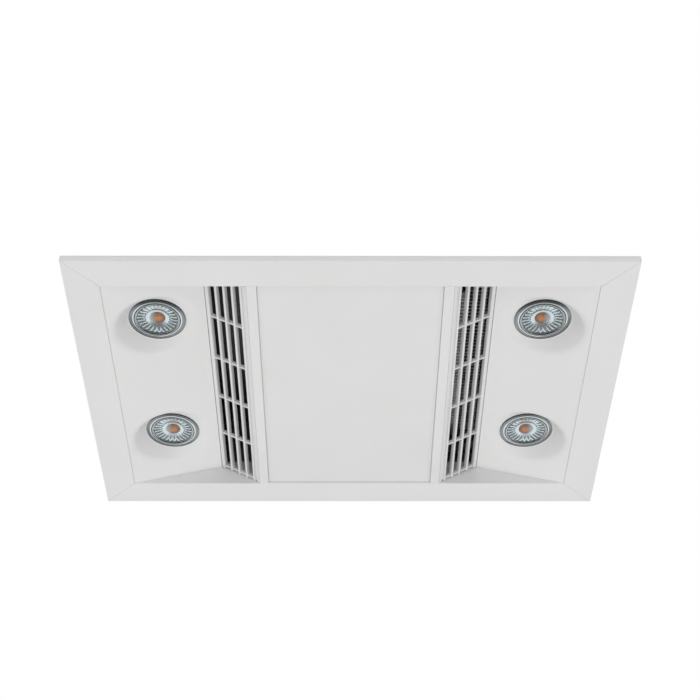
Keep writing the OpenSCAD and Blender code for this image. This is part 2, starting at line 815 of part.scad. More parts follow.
// Half-round flap on the +X side; its knuckles are centred at the listed heights
module flap(heights) {
    translate([duct_x, spindle_y, duct_z]) difference() {
        union() {
            translate([0, flap_t - flap_back, 0]) rotate([90, 0, 0]) linear_extrude(flap_t)
                intersection() {
                    circle(r = flap_r, $fn = 96);
                    translate([flap_start, -flap_r]) square([flap_r, 2 * flap_r]);
                }
            for (h = heights) translate([0, 0, h - knuckle_l / 2]) {
                cylinder(r = knuckle_r, h = knuckle_l, $fn = 32);
                translate([0, -flap_back, 0]) cube([flap_start + 1, flap_t, knuckle_l]);
            }
        }
        translate([0, 0, -flap_r]) cylinder(r = spindle_r + run_fit, h = 2 * flap_r, $fn = 32);
    }
}

module damper_flap_right() { color(white) flap([-knuckle_far, knuckle_near]); }

module damper_flap_left() {
    color(white) translate([2 * duct_x, 0, 0]) mirror([1, 0, 0]) flap([-knuckle_near, knuckle_far]);
}

// Warm air fan

// Sheet casing: an arc over the rotor, a rear wall, a tongue and two cheeks
module warm_casing() {
    wall_x = axis_x + casing_r;
    tongue = [axis_x - casing_r * cos(35), axis_z - casing_r * sin(35)];
    cheeks = [cheek_y0, cheek_y1];
    far = 2 * casing_r + 10;
    tab_w = 9;
    color(zinc) {
        translate([0, cheek_y1 + eps, 0]) rotate([90, 0, 0]) linear_extrude(cheek_y1 - cheek_y0) {
            intersection() {
                translate([axis_x, axis_z]) difference() {
                    circle(r = casing_r + sheet, $fn = 96);
                    circle(r = casing_r, $fn = 96);
                }
                translate([axis_x, axis_z]) polygon([
                    [0, 0], [far, 0], [far, far], [-far, far], [-far, far * tan(30)]
                ]);
            }
            translate([wall_x, heat_z1]) square([sheet, axis_z - heat_z1]);
            translate([tongue[0] - sheet, heat_z1]) square([sheet, tongue[1] - heat_z1]);
            translate([heat_x0, heat_z1]) square([tongue[0] - heat_x0, sheet]);
        }
        difference() {
            for (y = cheeks) {
                translate([heat_x0, y, heat_z1])
                    cube([wall_x + sheet - heat_x0, sheet, deck_z - fit - heat_z1]);
                translate([heat_x0, y, deck_z - fit - sheet]) cube([wall_x + sheet - heat_x0, tab_w, sheet]);
            }
            translate([axis_x, cheek_y0 - 1, axis_z]) rotate([-90, 0, 0])
                cylinder(r = neck_r, h = sheet + 2, $fn = 48);
            translate([axis_x, cheek_y1 - 1, axis_z]) rotate([-90, 0, 0])
                cylinder(r = axle_r + 2, h = sheet + 2, $fn = 48);
        }
    }
}

// Cross-flow rotor: discs at equal distances joined by narrow blades
module warm_rotor() {
    length = rotor_y1 - rotor_y0;
    cells = 5;
    disc_t = 1.2;
    sleeve_l = 8;
    color(plastic) translate([axis_x, rotor_y0, axis_z]) rotate([-90, 0, 0]) {
        for (i = [0 : cells]) translate([0, 0, i * (length - disc_t) / cells]) difference() {
            cylinder(r = rotor_r, h = disc_t, $fn = 72);
            if (i > 0 && i < cells)
                translate([0, 0, -1]) cylinder(r = rotor_r - 6, h = disc_t + 2, $fn = 72);
            else
                translate([0, 0, -1]) cylinder(r = axle_r, h = disc_t + 2, $fn = 32);
        }
        for (end = [disc_t, length - disc_t - sleeve_l]) translate([0, 0, end]) difference() {
            cylinder(r = axle_r + 3.5, h = sleeve_l, $fn = 48);
            translate([0, 0, -1]) cylinder(r = axle_r, h = sleeve_l + 2, $fn = 32);
        }
        for (i = [0 : rotor_blades - 1]) rotate(i * 360 / rotor_blades)
            translate([rotor_r - 3, 0, 0]) rotate(28) translate([-2.4, -0.4, 0]) cube([4.8, 0.8, length]);
    }
}

// Two steel axles: a stub in the bush and a longer one through the motor, which carries its rotor
module rotor_axles() {
    grip = 9;
    stub_y = cheek_y0 - 7;
    drive_y = rotor_y1 - grip;
    color(bright) translate([axis_x, 0, axis_z]) rotate([-90, 0, 0]) {
        translate([0, 0, stub_y]) cylinder(r = axle_r, h = rotor_y0 + grip - stub_y, $fn = 32);
        translate([0, 0, drive_y]) cylinder(r = axle_r, h = stack_y + stack_t + grip - drive_y, $fn = 32);
        translate([0, 0, stack_y + 1]) cylinder(r = stack_r - 0.5, h = stack_t - 2, $fn = 64);
    }
}

module rotor_bush() {
    collar = 4;
    neck = collar + sheet + 0.5;
    color(plastic) translate([axis_x, cheek_y0 - collar, axis_z]) rotate([-90, 0, 0]) difference() {
        union() {
            cylinder(r = neck_r, h = neck, $fn = 48);
            cylinder(r = neck_r + 2, h = collar, $fn = 48);
        }
        translate([0, 0, -1]) cylinder(r = axle_r + run_fit, h = neck + 2, $fn = 32);
    }
}

// Shaded-pole motor: sheet stack with a window for the coil, bearing bridges and two posts
module warm_motor() {
    bridge = 3;
    bridge_h = 12;
    post_y = cheek_y1 + sheet;
    color(zinc) {
        difference() {
            translate([axis_x - stack_half, stack_y, leg_z]) cube([2 * stack_half, stack_t, stack_h]);
            translate([axis_x - stack_half + leg_w, stack_y - 1, leg_z + leg_w])
                cube([2 * (stack_half - leg_w), stack_t + 2, leg_w + 1]);
            translate([axis_x, stack_y - 1, axis_z]) rotate([-90, 0, 0])
                cylinder(r = stack_r, h = stack_t + 2, $fn = 64);
        }
        for (y = [stack_y - bridge, stack_y + stack_t]) difference() {
            translate([axis_x - stack_half, y, axis_z - bridge_h / 2])
                cube([2 * stack_half, bridge, bridge_h]);
            translate([axis_x, y - 1, axis_z]) rotate([-90, 0, 0])
                cylinder(r = axle_r + run_fit, h = bridge + 2, $fn = 32);
        }
        for (s = [-1, 1]) translate([axis_x + s * (stack_half - 4), post_y, axis_z + 14]) rotate([-90, 0, 0])
            cylinder(r = 2.5, h = stack_y - post_y, $fn = 24);
    }
}

module motor_coil() {
    wrap = 4;
    gap = 0.2;
    half = stack_half - leg_w - 1;
    color([0.72, 0.42, 0.2]) difference() {
        translate([axis_x - half, stack_y - wrap, leg_z - wrap])
            cube([2 * half, stack_t + 2 * wrap, leg_w + 2 * wrap]);
        translate([axis_x - half - 1, stack_y - gap, leg_z - gap])
            cube([2 * half + 2, stack_t + 2 * gap, leg_w + 2 * gap]);
    }
}

// Heating element: bright fins across two heater bars, held in a heat-proof frame
module heating_element() {
    edge = 3 + fit;
    x0 = heat_x0 + edge;
    x1 = heat_x1 - edge;
    y0 = cheek_y0 + edge;
    y1 = cheek_y1 - edge;
    fins = floor((y1 - y0 - 1) / fin_pitch);
    start = (y0 + y1 - fins * fin_pitch) / 2;
    fin_t = 0.8;
    rod_w = 6;
    rod_h = 8;
    color([0.8, 0.81, 0.83]) translate([0, 0, heat_z0 + 0.5]) {
        for (i = [0 : fins]) translate([x0, start + i * fin_pitch - fin_t / 2, 0])
            cube([x1 - x0, fin_t, element_h]);
        for (s = [0.25, 0.75]) translate([x0 + (x1 - x0) * s - rod_w / 2, y0, (element_h - rod_h) / 2])
            cube([rod_w, y1 - y0, rod_h]);
    }
}

module element_frame() {
    wall = 3;
    color(plastic) difference() {
        translate([heat_x0, cheek_y0, heat_z0])
            cube([heat_x1 - heat_x0, cheek_y1 - cheek_y0, heat_z1 - heat_z0]);
        translate([heat_x0 + wall, cheek_y0 + wall, heat_z0 - 1])
            cube([heat_x1 - heat_x0 - 2 * wall, cheek_y1 - cheek_y0 - 2 * wall, heat_z1 - heat_z0 + 2]);
    }
}

// Skirt that leads the warm air from the element to the right-hand grille
module outlet_skirt() {
    low = face_z + 12 + fit;
    x0 = rail_out - sheet - fit;
    back_x = deep_x - slat_d * sin(grille_deg);
    back_z = deep_z + slat_d * cos(grille_deg) + 1.5;
    foot = (low - back_z) * grille_run / recess_d + back_x;
    color(zinc) {
        translate([x0, cheek_y0, low]) cube([sheet, cheek_y1 - cheek_y0, heat_z1 - low]);
        for (y = [cheek_y0, cheek_y1 - sheet])
            translate([0, y + sheet, 0]) rotate([90, 0, 0]) linear_extrude(sheet)
                polygon([
                    [x0, low], [foot, low], [back_x - 1, back_z - 0.5],
                    [back_x - 1, heat_z0 - fit], [x0, heat_z0 - fit]
                ]);
    }
}

module thermal_cutout() {
    x0 = rail_out - sheet - fit;
    color(plastic) translate([x0, 60, heat_z1 - 10]) rotate([0, -90, 0]) {
        translate([-6, -12, 0]) cube([12, 24, 1]);
        cylinder(r = 5.8, h = 6, $fn = 48);
        for (s = [-1, 1]) translate([-2, s * 3.5 - 0.4, 5]) cube([4, 0.8, 7]);
    }
}

// Terminal box

module terminal_box() {
    color(zinc) translate([box_x, wall_y, box_z]) difference() {
        cube([box_l, box_d, box_h]);
        translate([box_t, box_t, box_t]) cube([box_l - 2 * box_t, box_d, box_h - 2 * box_t]);
        translate([wire_x, -1, box_h - wire_down]) rotate([-90, 0, 0])
            cylinder(r = wire_r, h = box_t + 2, $fn = 32);
        translate([box_l - box_t - 1, box_d / 2, gland_z - box_z]) rotate([0, 90, 0])
            cylinder(r = gland_r + run_fit, h = box_t + 2, $fn = 48);
    }
}

module terminal_cover() {
    lip = 6;
    gap = box_t + 0.2;
    screw_in = 8;
    color(zinc) translate([box_x, wall_y + box_d, box_z]) {
        cube([box_l, box_t, box_h]);
        for (z = [gap, box_h - gap - box_t]) translate([gap + screw_in, -lip, z])
            cube([box_l - 2 * (gap + screw_in), lip, box_t]);
        for (x = [screw_in, box_l - screw_in]) translate([x, box_t, box_h / 2]) rotate([-90, 0, 0])
            cylinder(r = 3.5, h = 1.6, $fn = 32);
    }
}

module terminal_block() {
    ways = 5;
    pitch = 9;
    depth = 16;
    height = 18;
    color([0.9, 0.9, 0.86]) translate([box_x + wire_x, wall_y + box_t, box_z + 10]) difference() {
        cube([ways * pitch, depth, height]);
        for (i = [0 : ways - 1], z = [5, height - 5])
            translate([(i + 0.5) * pitch, depth / 2, z]) rotate([-90, 0, 0])
                cylinder(r = 1.9, h = depth, $fn = 24);
    }
}

module cable_gland() {
    nut_h = 6;
    dome_h = 13;
    lock_h = 5;
    thread = 8;
    hole = box_t + thread + nut_h + dome_h + 2;
    color(plastic) translate([box_x + box_l, gland_y, gland_z]) rotate([0, 90, 0]) difference() {
        union() {
            translate([0, 0, -box_t - thread]) cylinder(r = gland_r, h = box_t + thread + 2, $fn = 48);
            translate([0, 0, -box_t - lock_h]) cylinder(r = gland_r + 2.5, h = lock_h, $fn = 6);
            cylinder(r = gland_r + 3, h = nut_h, $fn = 6);
            translate([0, 0, nut_h]) cylinder(r1 = gland_r + 1.4, r2 = gland_r - 1, h = dome_h, $fn = 48);
        }
        translate([0, 0, -box_t - thread - 1]) cylinder(r = cable_r, h = hole, $fn = 48);
    }
}

frame_front();
frame_rear();
frame_left();
frame_right();
corner_keys();
fascia_clips();
lamp_panel_left();
lamp_panel_right();
grille_left();
grille_right();
centre_rail_left();
centre_rail_right();
centre_panel();
bezel_front_left();
bezel_front_right();
bezel_rear_left();
bezel_rear_right();
lamp_front_left();
lamp_front_right();
lamp_rear_left();
lamp_rear_right();
lens_front_left();
lens_front_right();
lens_rear_left();
lens_rear_right();
holder_front_left();
holder_front_right();
holder_rear_left();
holder_rear_right();
lamp_brackets();
housing();
deck();
baffle_left();
baffle_right();
inlet_ring();
scroll_casing();
exhaust_impeller();
exhaust_shaft();
exhaust_motor();
motor_bracket();
motor_bushes();
duct_spigot();
damper_spindle();
damper_spring();
damper_flap_left();
damper_flap_right();
warm_casing();
warm_rotor();
rotor_axles();
rotor_bush();
warm_motor();
motor_coil();
heating_element();
element_frame();
outlet_skirt();
thermal_cutout();
terminal_box();
terminal_cover();
terminal_block();
cable_gland();
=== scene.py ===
"""The looks of the bathroom ceiling heater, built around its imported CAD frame.

Lengths are millimetres in the row's frame: +Z up, the ceiling plane at z = 0, the front at -Y. They
turn into metres when a mesh is made. Only the floor, the lights, the camera and the materials are in
metres from the start.
"""

import json
import math

import bmesh
import bpy
from mathutils import Matrix, Vector

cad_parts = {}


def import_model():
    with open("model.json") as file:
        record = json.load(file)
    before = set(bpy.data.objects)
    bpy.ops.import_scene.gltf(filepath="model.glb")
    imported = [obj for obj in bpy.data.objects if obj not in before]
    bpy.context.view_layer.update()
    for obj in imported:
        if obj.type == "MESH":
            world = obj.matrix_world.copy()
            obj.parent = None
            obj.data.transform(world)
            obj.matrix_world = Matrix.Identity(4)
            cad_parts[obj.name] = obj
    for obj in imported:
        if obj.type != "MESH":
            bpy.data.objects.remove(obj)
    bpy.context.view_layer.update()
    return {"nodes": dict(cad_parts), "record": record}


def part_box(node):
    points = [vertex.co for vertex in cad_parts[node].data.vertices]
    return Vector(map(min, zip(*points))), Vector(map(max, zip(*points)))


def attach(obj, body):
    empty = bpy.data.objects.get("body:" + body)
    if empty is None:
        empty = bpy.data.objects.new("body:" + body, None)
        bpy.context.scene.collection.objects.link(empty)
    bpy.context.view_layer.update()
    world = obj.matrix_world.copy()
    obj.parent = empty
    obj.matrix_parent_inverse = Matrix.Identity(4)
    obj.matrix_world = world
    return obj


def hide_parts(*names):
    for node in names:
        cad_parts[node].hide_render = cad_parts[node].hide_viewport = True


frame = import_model()

MM = 0.001
RECORD_SLOTS = {s["node"]: s["material_slot"] for s in frame["record"]["subparts"]}


def node_box(name):
    """Lowest and highest corner of a CAD node, in millimetres."""
    low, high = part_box(name)
    return low / MM, high / MM


# Sizes read from the frame

FACE_X, FACE_Y = node_box("frame_right")[1].x, node_box("frame_rear")[1].y
FACE_Z = node_box("frame_front")[0].z
WEB_TOP = node_box("frame_front")[1].z
BORDER = node_box("frame_right")[1].x - node_box("frame_right")[0].x
OPEN_X, OPEN_Y = FACE_X - BORDER, FACE_Y - BORDER
RAIL_IN, RAIL_OUT = node_box("centre_rail_right")[0].x, node_box("centre_rail_right")[1].x
DEEP_X = node_box("lamp_panel_right")[0].x
LAMP_LOW, LAMP_HIGH = node_box("lamp_rear_right")
LAMP_X, LAMP_Y = (LAMP_LOW.x + LAMP_HIGH.x) / 2, (LAMP_LOW.y + LAMP_HIGH.y) / 2
LAMP_R = (LAMP_HIGH.x - LAMP_LOW.x) / 2
LAMP_PROUD = 2.2
SEAT_Z = LAMP_LOW.z + LAMP_PROUD
BEZEL_R = (node_box("bezel_rear_right")[1].x - node_box("bezel_rear_right")[0].x) / 2

# Sizes that the boxes don't give; the CAD leaves FIT round a fascia part, and the looks SEEN_GAP

FIT = 0.3
SEEN_GAP = 0.1
FRAME_T = 1.8
PANEL_T = 1.2
PANEL_RISE = 25
DEEP_Z = FACE_Z + PANEL_RISE
PANEL_LIFT = 0.4
PANEL_SLOPE = (DEEP_Z - FACE_Z - PANEL_LIFT) / (OPEN_X - DEEP_X)
CORNERS = {
    "front_left": (-1, -1), "front_right": (1, -1), "rear_left": (-1, 1), "rear_right": (1, 1),
}


# Mesh helpers: points closer than WELD become one, and points within NEAR of a line count as on it

WELD, NEAR = 1e-4, 1e-3
ROUND_STEPS = 4


def add_object(name, data):
    """An object in the scene that holds a mesh, a light or a camera."""
    obj = bpy.data.objects.new(name, data)
    bpy.context.scene.collection.objects.link(obj)
    return obj


def metre_mesh(name, bm):
    """Turns a bmesh in millimetres into a mesh in metres, and frees it."""
    bmesh.ops.scale(bm, vec=(MM, MM, MM), verts=bm.verts)
    mesh = bpy.data.meshes.new(name)
    bm.to_mesh(mesh)
    bm.free()
    return mesh


def piece(name, bm, material, body="unit", slot=None, replaces=(), smooth_deg=35):
    """Makes an object from a bmesh in millimetres, gives it its looks and lets it ride on a body."""
    bmesh.ops.remove_doubles(bm, verts=bm.verts, dist=WELD)
    bmesh.ops.recalc_face_normals(bm, faces=bm.faces)
    mesh = metre_mesh(name, bm)
    mesh.shade_smooth()
    mesh.set_sharp_from_angle(angle=math.radians(smooth_deg))
    obj = add_object(name, mesh)
    for m in material if isinstance(material, list) else [material]:
        mesh.materials.append(m)
    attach(obj, body)
    if replaces:
        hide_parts(*replaces)
        slot = slot or RECORD_SLOTS[replaces[0]]
    return obj


def keep_flats_flat(obj):
    """Large faces rule the shading, so that narrow rounds don't bend a mirror beside them."""
    obj.modifiers.new("flats", "WEIGHTED_NORMAL").keep_sharp = True


def round_corners(points, radii):
    """An outline with each corner rounded by its own radius; a radius of 0 keeps the corner."""
    out = []
    count = len(points)
    for i, (point, radius) in enumerate(zip(points, radii)):
        here = Vector(point)
        if not radius:
            out.append(here)
            continue
        back = (Vector(points[i - 1]) - here).normalized()
        ahead = (Vector(points[(i + 1) % count]) - here).normalized()
        half = back.angle(ahead) / 2
        reach = radius / math.tan(half)
        centre = here + (back + ahead).normalized() * (radius / math.sin(half))
        start, end = here + back * reach, here + ahead * reach
        turn = (start - centre).angle_signed(end - centre)
        first = math.atan2(start.y - centre.y, start.x - centre.x)
        for k in range(ROUND_STEPS + 1):
            a = first - turn * k / ROUND_STEPS
            out.append(centre + Vector((math.cos(a), math.sin(a))) * radius)
    return out


def flat_points(*pairs):
    """Points of a profile or an outline, from pairs of numbers."""
    return [Vector(p) for p in pairs]


def circle(radius, height, steps, centre=(0, 0, 0)):
    """Points of a level circle at a height over a centre."""
    angles = [math.tau * k / steps for k in range(steps)]
    return [
        Vector(centre) + Vector((radius * math.cos(a), radius * math.sin(a), height)) for a in angles
    ]


def loft(bm, rings, caps=True):
    """Joins rings of 3-D points with quads, and closes the two ends."""
    made = [[bm.verts.new(p) for p in ring] for ring in rings]
    count = len(made[0])
    for a, b in zip(made, made[1:]):
        for i in range(count):
            j = (i + 1) % count
            bm.faces.new((a[i], a[j], b[j], b[i]))
    if caps:
        bm.faces.new(made[0])
        bm.faces.new(list(reversed(made[-1])))


def lathe(bm, profile, centre=(0, 0, 0), steps=96, closed=True):
    """Turns a profile of (radius, height) points about a vertical axis; radius 0 makes a pole."""
    rings = []
    for radius, height in profile:
        points = circle(radius, height, steps if radius > WELD else 1, centre)
        rings.append([bm.verts.new(p) for p in points])
    pairs = list(zip(rings, rings[1:]))
    if closed:
        pairs.append((rings[-1], rings[0]))
    for a, b in pairs:
        if len(a) == 1 and len(b) == 1:
            continue
        for k in range(steps):
            n = (k + 1) % steps
            if len(a) == 1:
                bm.faces.new((a[0], b[n], b[k]))
            elif len(b) == 1:
                bm.faces.new((a[k], a[n], b[0]))
            else:
                bm.faces.new((a[k], a[n], b[n], b[k]))


def bar(bm, low, high, bevel=0.0, segments=2, matrix=None):
    """A box from corner to corner, with rounded edges."""
    part = bmesh.new()
    bmesh.ops.create_cube(part, size=1)
    size = Vector(high) - Vector(low)
    bmesh.ops.scale(part, vec=size, verts=part.verts)
    bmesh.ops.translate(part, vec=(Vector(high) + Vector(low)) / 2, verts=part.verts)
    if bevel:
        bmesh.ops.bevel(
            part, geom=part.edges[:], offset=bevel, segments=segments, profile=0.5, affect="EDGES",
        )
    merge(bm, part, matrix)


def merge(bm, part, matrix=None):
    """Adds one bmesh to another, moved by a matrix, and frees it."""
    if matrix is not None:
        bmesh.ops.transform(part, matrix=matrix, verts=part.verts)
    mesh = bpy.data.meshes.new("part")
    part.to_mesh(mesh)
    part.free()
    bm.from_mesh(mesh)
    bpy.data.meshes.remove(mesh)


def mirrored(bm, flip):
    """The same bmesh, turned into its left-right mirror where flip is set."""
    if flip:
        bmesh.ops.scale(bm, vec=(-1, 1, 1), verts=bm.verts)
        bmesh.ops.reverse_faces(bm, faces=bm.faces)
    return bm


# Material helpers

def new_material(name, **values):
    """A material with its Principled shader's own sockets set, and handles to build on."""
    material = bpy.data.materials.new(name)
    material.use_nodes = True
    tree = material.node_tree
    shader = tree.nodes["Principled BSDF"]
    for key, value in values.items():
        shader.inputs[key.replace("_", " ")].default_value = value
    return material, tree, shader


def add_node(tree, kind, **values):
    """A node with its properties or input values set by name."""
    node = tree.nodes.new(kind)
    for key, value in values.items():
        if hasattr(node, key):
            setattr(node, key, value)
        else:
            node.inputs[key.replace("_", " ")].default_value = value
    return node


def maths(tree, kind, operation, *inputs):
    """A maths node of a kind, where each input is another node's output or a plain value."""
    node = add_node(tree, kind, operation=operation)
    for socket, value in zip(node.inputs, inputs):
        if isinstance(value, bpy.types.NodeSocket):
            tree.links.new(value, socket)
        else:
            socket.default_value = value
    return node.outputs["Value" if operation == "LENGTH" else 0]


def position(tree):
    """The surface point in object coordinates, which are metres in the row's frame."""
    return add_node(tree, "ShaderNodeTexCoord").outputs["Object"]


def grey(value):
    return (value, value, value)


def ramp(tree, source, stops):
    """A colour ramp with (place, colour) stops."""
    node = tree.nodes.new("ShaderNodeValToRGB")
    while len(node.color_ramp.elements) < len(stops):
        node.color_ramp.elements.new(0.5)
    for element, (place, colour) in zip(node.color_ramp.elements, stops):
        element.position = place
        element.color = (*colour, 1)
    tree.links.new(source, node.inputs["Fac"])
    return node.outputs["Color"]


def noise(tree, scale, detail, rough=0.5, vector=None):
    """Noise over the surface, or over another vector."""
    node = add_node(tree, "ShaderNodeTexNoise", Scale=scale, Detail=detail, Roughness=rough)
    tree.links.new(vector or position(tree), node.inputs["Vector"])
    return node.outputs["Fac"]


def drive(tree, shader, socket, source, low, high, span=(0.3, 0.7)):
    """Lets a source move one of the shader's sockets from one colour or grey to another."""
    tree.links.new(ramp(tree, source, [(span[0], low), (span[1], high)]), shader.inputs[socket])


def add_bump(tree, shader, height, distance, strength):
    """Lets a height tilt the shading; distance is its depth in metres."""
    bump = add_node(tree, "ShaderNodeBump", Strength=strength, Distance=distance)
    tree.links.new(height, bump.inputs["Height"])
    tree.links.new(bump.outputs["Normal"], shader.inputs["Normal"])


def mix_shaders(tree, share, first, second, output):
    """Sends a mix to the output, where share is how much of the second shader shows."""
    mix = add_node(tree, "ShaderNodeMixShader")
    tree.links.new(share, mix.inputs["Fac"])
    tree.links.new(first.outputs[0], mix.inputs[1])
    tree.links.new(second.outputs[0], mix.inputs[2])
    tree.links.new(mix.outputs[0], output.inputs["Surface"])


def any_ray(tree, *kinds):
    """1 for a ray of any of these kinds and 0 for other rays."""
    rays = add_node(tree, "ShaderNodeLightPath")
    found = rays.outputs[kinds[0]]
    for kind in kinds[1:]:
        found = maths(tree, "ShaderNodeMath", "MAXIMUM", found, rays.outputs[kind])
    return found


# Materials

def coat(name, tone, gloss=None, bump=None, span=(0.3, 0.7), **values):
    """A surface whose tone, gloss and height drift with noise.

    tone and gloss are (noise scale, detail, low, high), and bump is (noise scale, distance, strength).
    """
    material, tree, shader = new_material(name, **values)
    scale, detail, low, high = tone
    drive(tree, shader, "Base Color", noise(tree, scale, detail), low, high, span)
    if gloss:
        scale, detail, low, high = gloss
        drive(tree, shader, "Roughness", noise(tree, scale, detail), grey(low), grey(high))
    if bump:
        scale, distance, strength = bump
        add_bump(tree, shader, noise(tree, scale, 2), distance, strength)
    return material


def bright_metal(name, colour, low_rough, high_rough):
    """Plated or polished metal with a light haze."""
    material, tree, shader = new_material(name, Metallic=1.0)
    shader.inputs["Base Color"].default_value = (*colour, 1)
    drive(tree, shader, "Roughness", noise(tree, 220, 4), grey(low_rough), grey(high_rough), (0.35, 0.65))
    add_bump(tree, shader, noise(tree, 1400, 3), 0.00001, 0.4)
    return material


def galvanised(name, light=1.0):
    """Zinc-coated sheet: spangle grains of different tone and gloss, with a light grain."""
    material, tree, shader = new_material(name, Metallic=0.85)
    cells = add_node(tree, "ShaderNodeTexVoronoi", Scale=240.0)
    tree.links.new(position(tree), cells.inputs["Vector"])
    split = tree.nodes.new("ShaderNodeSeparateColor")
    tree.links.new(cells.outputs["Color"], split.inputs["Color"])
    tones = ((0.0, (0.40, 0.41, 0.42)), (0.5, (0.43, 0.44, 0.45)), (1.0, (0.465, 0.475, 0.485)))
    stops = [(place, tuple(light * c for c in colour)) for place, colour in tones]
    tree.links.new(ramp(tree, split.outputs["Red"], stops), shader.inputs["Base Color"])
    drive(tree, shader, "Roughness", split.outputs["Green"], grey(0.40), grey(0.48), (0, 1))
    add_bump(tree, shader, noise(tree, 300, 5, 0.6), 0.00005, 0.35)
    return material


def brushed(name, colour, axis_scale, rough=0.32):
    """Rolled or ground metal: fine lines along one axis."""
    material, tree, shader = new_material(name, Metallic=1.0, Roughness=rough)
    mapping = add_node(tree, "ShaderNodeMapping")
    mapping.inputs["Scale"].default_value = axis_scale
    tree.links.new(position(tree), mapping.inputs["Vector"])
    lines = noise(tree, 60, 6, 0.6, mapping.outputs["Vector"])
    drive(tree, shader, "Base Color", lines, tuple(c * 0.82 for c in colour), colour)
    add_bump(tree, shader, lines, 0.00003, 0.3)
    return material


def banded(name, axis, scale, distortion, stops, bump, **values):
    """Thin lines side by side along an axis; bump is (distance, strength)."""
    material, tree, shader = new_material(name, **values)
    wave = add_node(
        tree, "ShaderNodeTexWave", bands_direction=axis, Scale=scale, Distortion=distortion,
    )
    tree.links.new(position(tree), wave.inputs["Vector"])
    tree.links.new(ramp(tree, wave.outputs["Fac"], stops), shader.inputs["Base Color"])
    add_bump(tree, shader, wave.outputs["Fac"], *bump)
    return material


def phosphor():
    """Phosphor under clear silicone: orange in the middle, brown round it; a painted reflection makes its
    outer side pale.
    """
    # Painted light: the dome glows faintly in its own colours, standing in for light that reaches it
    # through the lens
    material, tree, shader = new_material(
        "phosphor_dome", Roughness=0.3, IOR=1.2, Emission_Strength=0.35,
    )
    vector = "ShaderNodeVectorMath"
    place = position(tree)
    sign = maths(tree, vector, "SIGN", place)

    def from_axis(inward, forward):
        """The point relative to its lamp's axis, which moves in and forward, in centimetres."""
        axis = maths(
            tree, vector, "MULTIPLY_ADD", sign,
            ((LAMP_X - inward) * MM, LAMP_Y * MM, 0), (0, -forward * MM, 0),
        )
        return maths(tree, vector, "MULTIPLY", maths(tree, vector, "SUBTRACT", place, axis), (100, 100, 0))

    length = maths(tree, vector, "LENGTH", from_axis(1.4, 1.6))
    drift = maths(tree, "ShaderNodeMath", "MULTIPLY_ADD", noise(tree, 260, 3), 0.16, length)
    patch = ramp(tree, drift, [
        (0.0, (0.95, 0.31, 0.05)), (0.34, (0.80, 0.27, 0.06)), (0.60, (0.42, 0.18, 0.07)),
        (0.85, (0.22, 0.14, 0.10)), (1.0, (0.22, 0.22, 0.21)),
    ])
    split = add_node(tree, "ShaderNodeSeparateXYZ")
    tree.links.new(maths(tree, vector, "MULTIPLY", from_axis(0, 0), sign), split.inputs[0])
    # Painted reflection: the colour turns pale towards the lamp's outer side, where a glossy dome would
    # mirror the side light
    painted_reflection = ramp(tree, split.outputs["X"], [(0.05, grey(0.0)), (0.75, grey(0.9))])
    mix = add_node(tree, "ShaderNodeMix", data_type="RGBA")
    tree.links.new(painted_reflection, mix.inputs["Factor"])
    tree.links.new(patch, mix.inputs[6])
    mix.inputs[7].default_value = (0.80, 0.84, 0.84, 1)
    for socket in ("Base Color", "Emission Color"):
        tree.links.new(mix.outputs[2], shader.inputs[socket])
    return material


# White: a powder coat with a faint orange peel, and a moulding with a fine spark texture
WHITE = coat(
    "white_enamel", (9, 4, (0.80, 0.80, 0.795), (0.82, 0.82, 0.817)), (60, 3, 0.42, 0.5),
    (900, 0.00002, 0.5), IOR=1.5,
)
MOULDED = coat(
    "white_moulding", (14, 3, (0.79, 0.79, 0.785), (0.81, 0.81, 0.807)), (120, 2, 0.48, 0.58),
    (2200, 0.00002, 0.6), IOR=1.46,
)
# Dark glass-filled moulding, rubber, glazed steatite and faintly blue acrylic
DARK = coat(
    "dark_moulding", (40, 4, grey(0.022), grey(0.034)), (180, 3, 0.42, 0.58),
    (1500, 0.00004, 0.5), IOR=1.5,
)
RUBBER = coat("bush_rubber", (200, 4, grey(0.018), grey(0.03)), (320, 2, 0.7, 0.85))
CERAMIC = coat(
    "glazed_ceramic", (700, 2, (0.62, 0.60, 0.54), (0.74, 0.72, 0.66)), (90, 2, 0.22, 0.34),
    span=(0.3, 0.5), IOR=1.52,
)
LENS = coat(
    "clear_lens", (150, 2, (0.90, 0.95, 0.97), (0.94, 0.98, 1.0)),
    IOR=1.36, Roughness=0.02, Transmission_Weight=1.0,
)
# Metals
CHROME = bright_metal("bezel_plating", (0.27, 0.295, 0.305), 0.10, 0.16)
POLISHED = bright_metal("bezel_lip", (0.68, 0.72, 0.73), 0.06, 0.10)
CAST = bright_metal("lamp_casting", (0.50, 0.54, 0.55), 0.20, 0.30)
REFLECTOR = bright_metal("lamp_reflector", (0.74, 0.78, 0.785), 0.05, 0.08)
ZINC = galvanised("zinc_sheet")
# Painted shade: the same zinc at 0.3 of its tone, for inner parts that show only in the shade behind the
# grille slots
SHADE_ZINC = galvanised("zinc_painted_shade", 0.3)
SPRING = brushed("spring_steel", (0.42, 0.43, 0.44), (1, 40, 1))
SHAFT = brushed("ground_steel", (0.52, 0.52, 0.53), (1, 1, 40), 0.22)
FIN = brushed("rolled_fin", (0.66, 0.67, 0.69), (40, 1, 1), 0.28)
LACQUER = banded(
    "motor_lacquer", "Z", 330, 0.6, [(0.2, grey(0.13)), (0.8, grey(0.2))], (0.0001, 0.4),
    Metallic=0.35, Roughness=0.45,
)
# Partly painted shade: a dark enamelled brown, kept near black so the winding reads as shade where it shows
# behind the grille slots
COPPER = banded(
    "copper_winding", "X", 420, 0.25, [(0.1, (0.05, 0.018, 0.010)), (0.6, (0.15, 0.06, 0.03))],
    (0.0002, 0.7), Metallic=0.9, Roughness=0.34,
)
PHOSPHOR = phosphor()

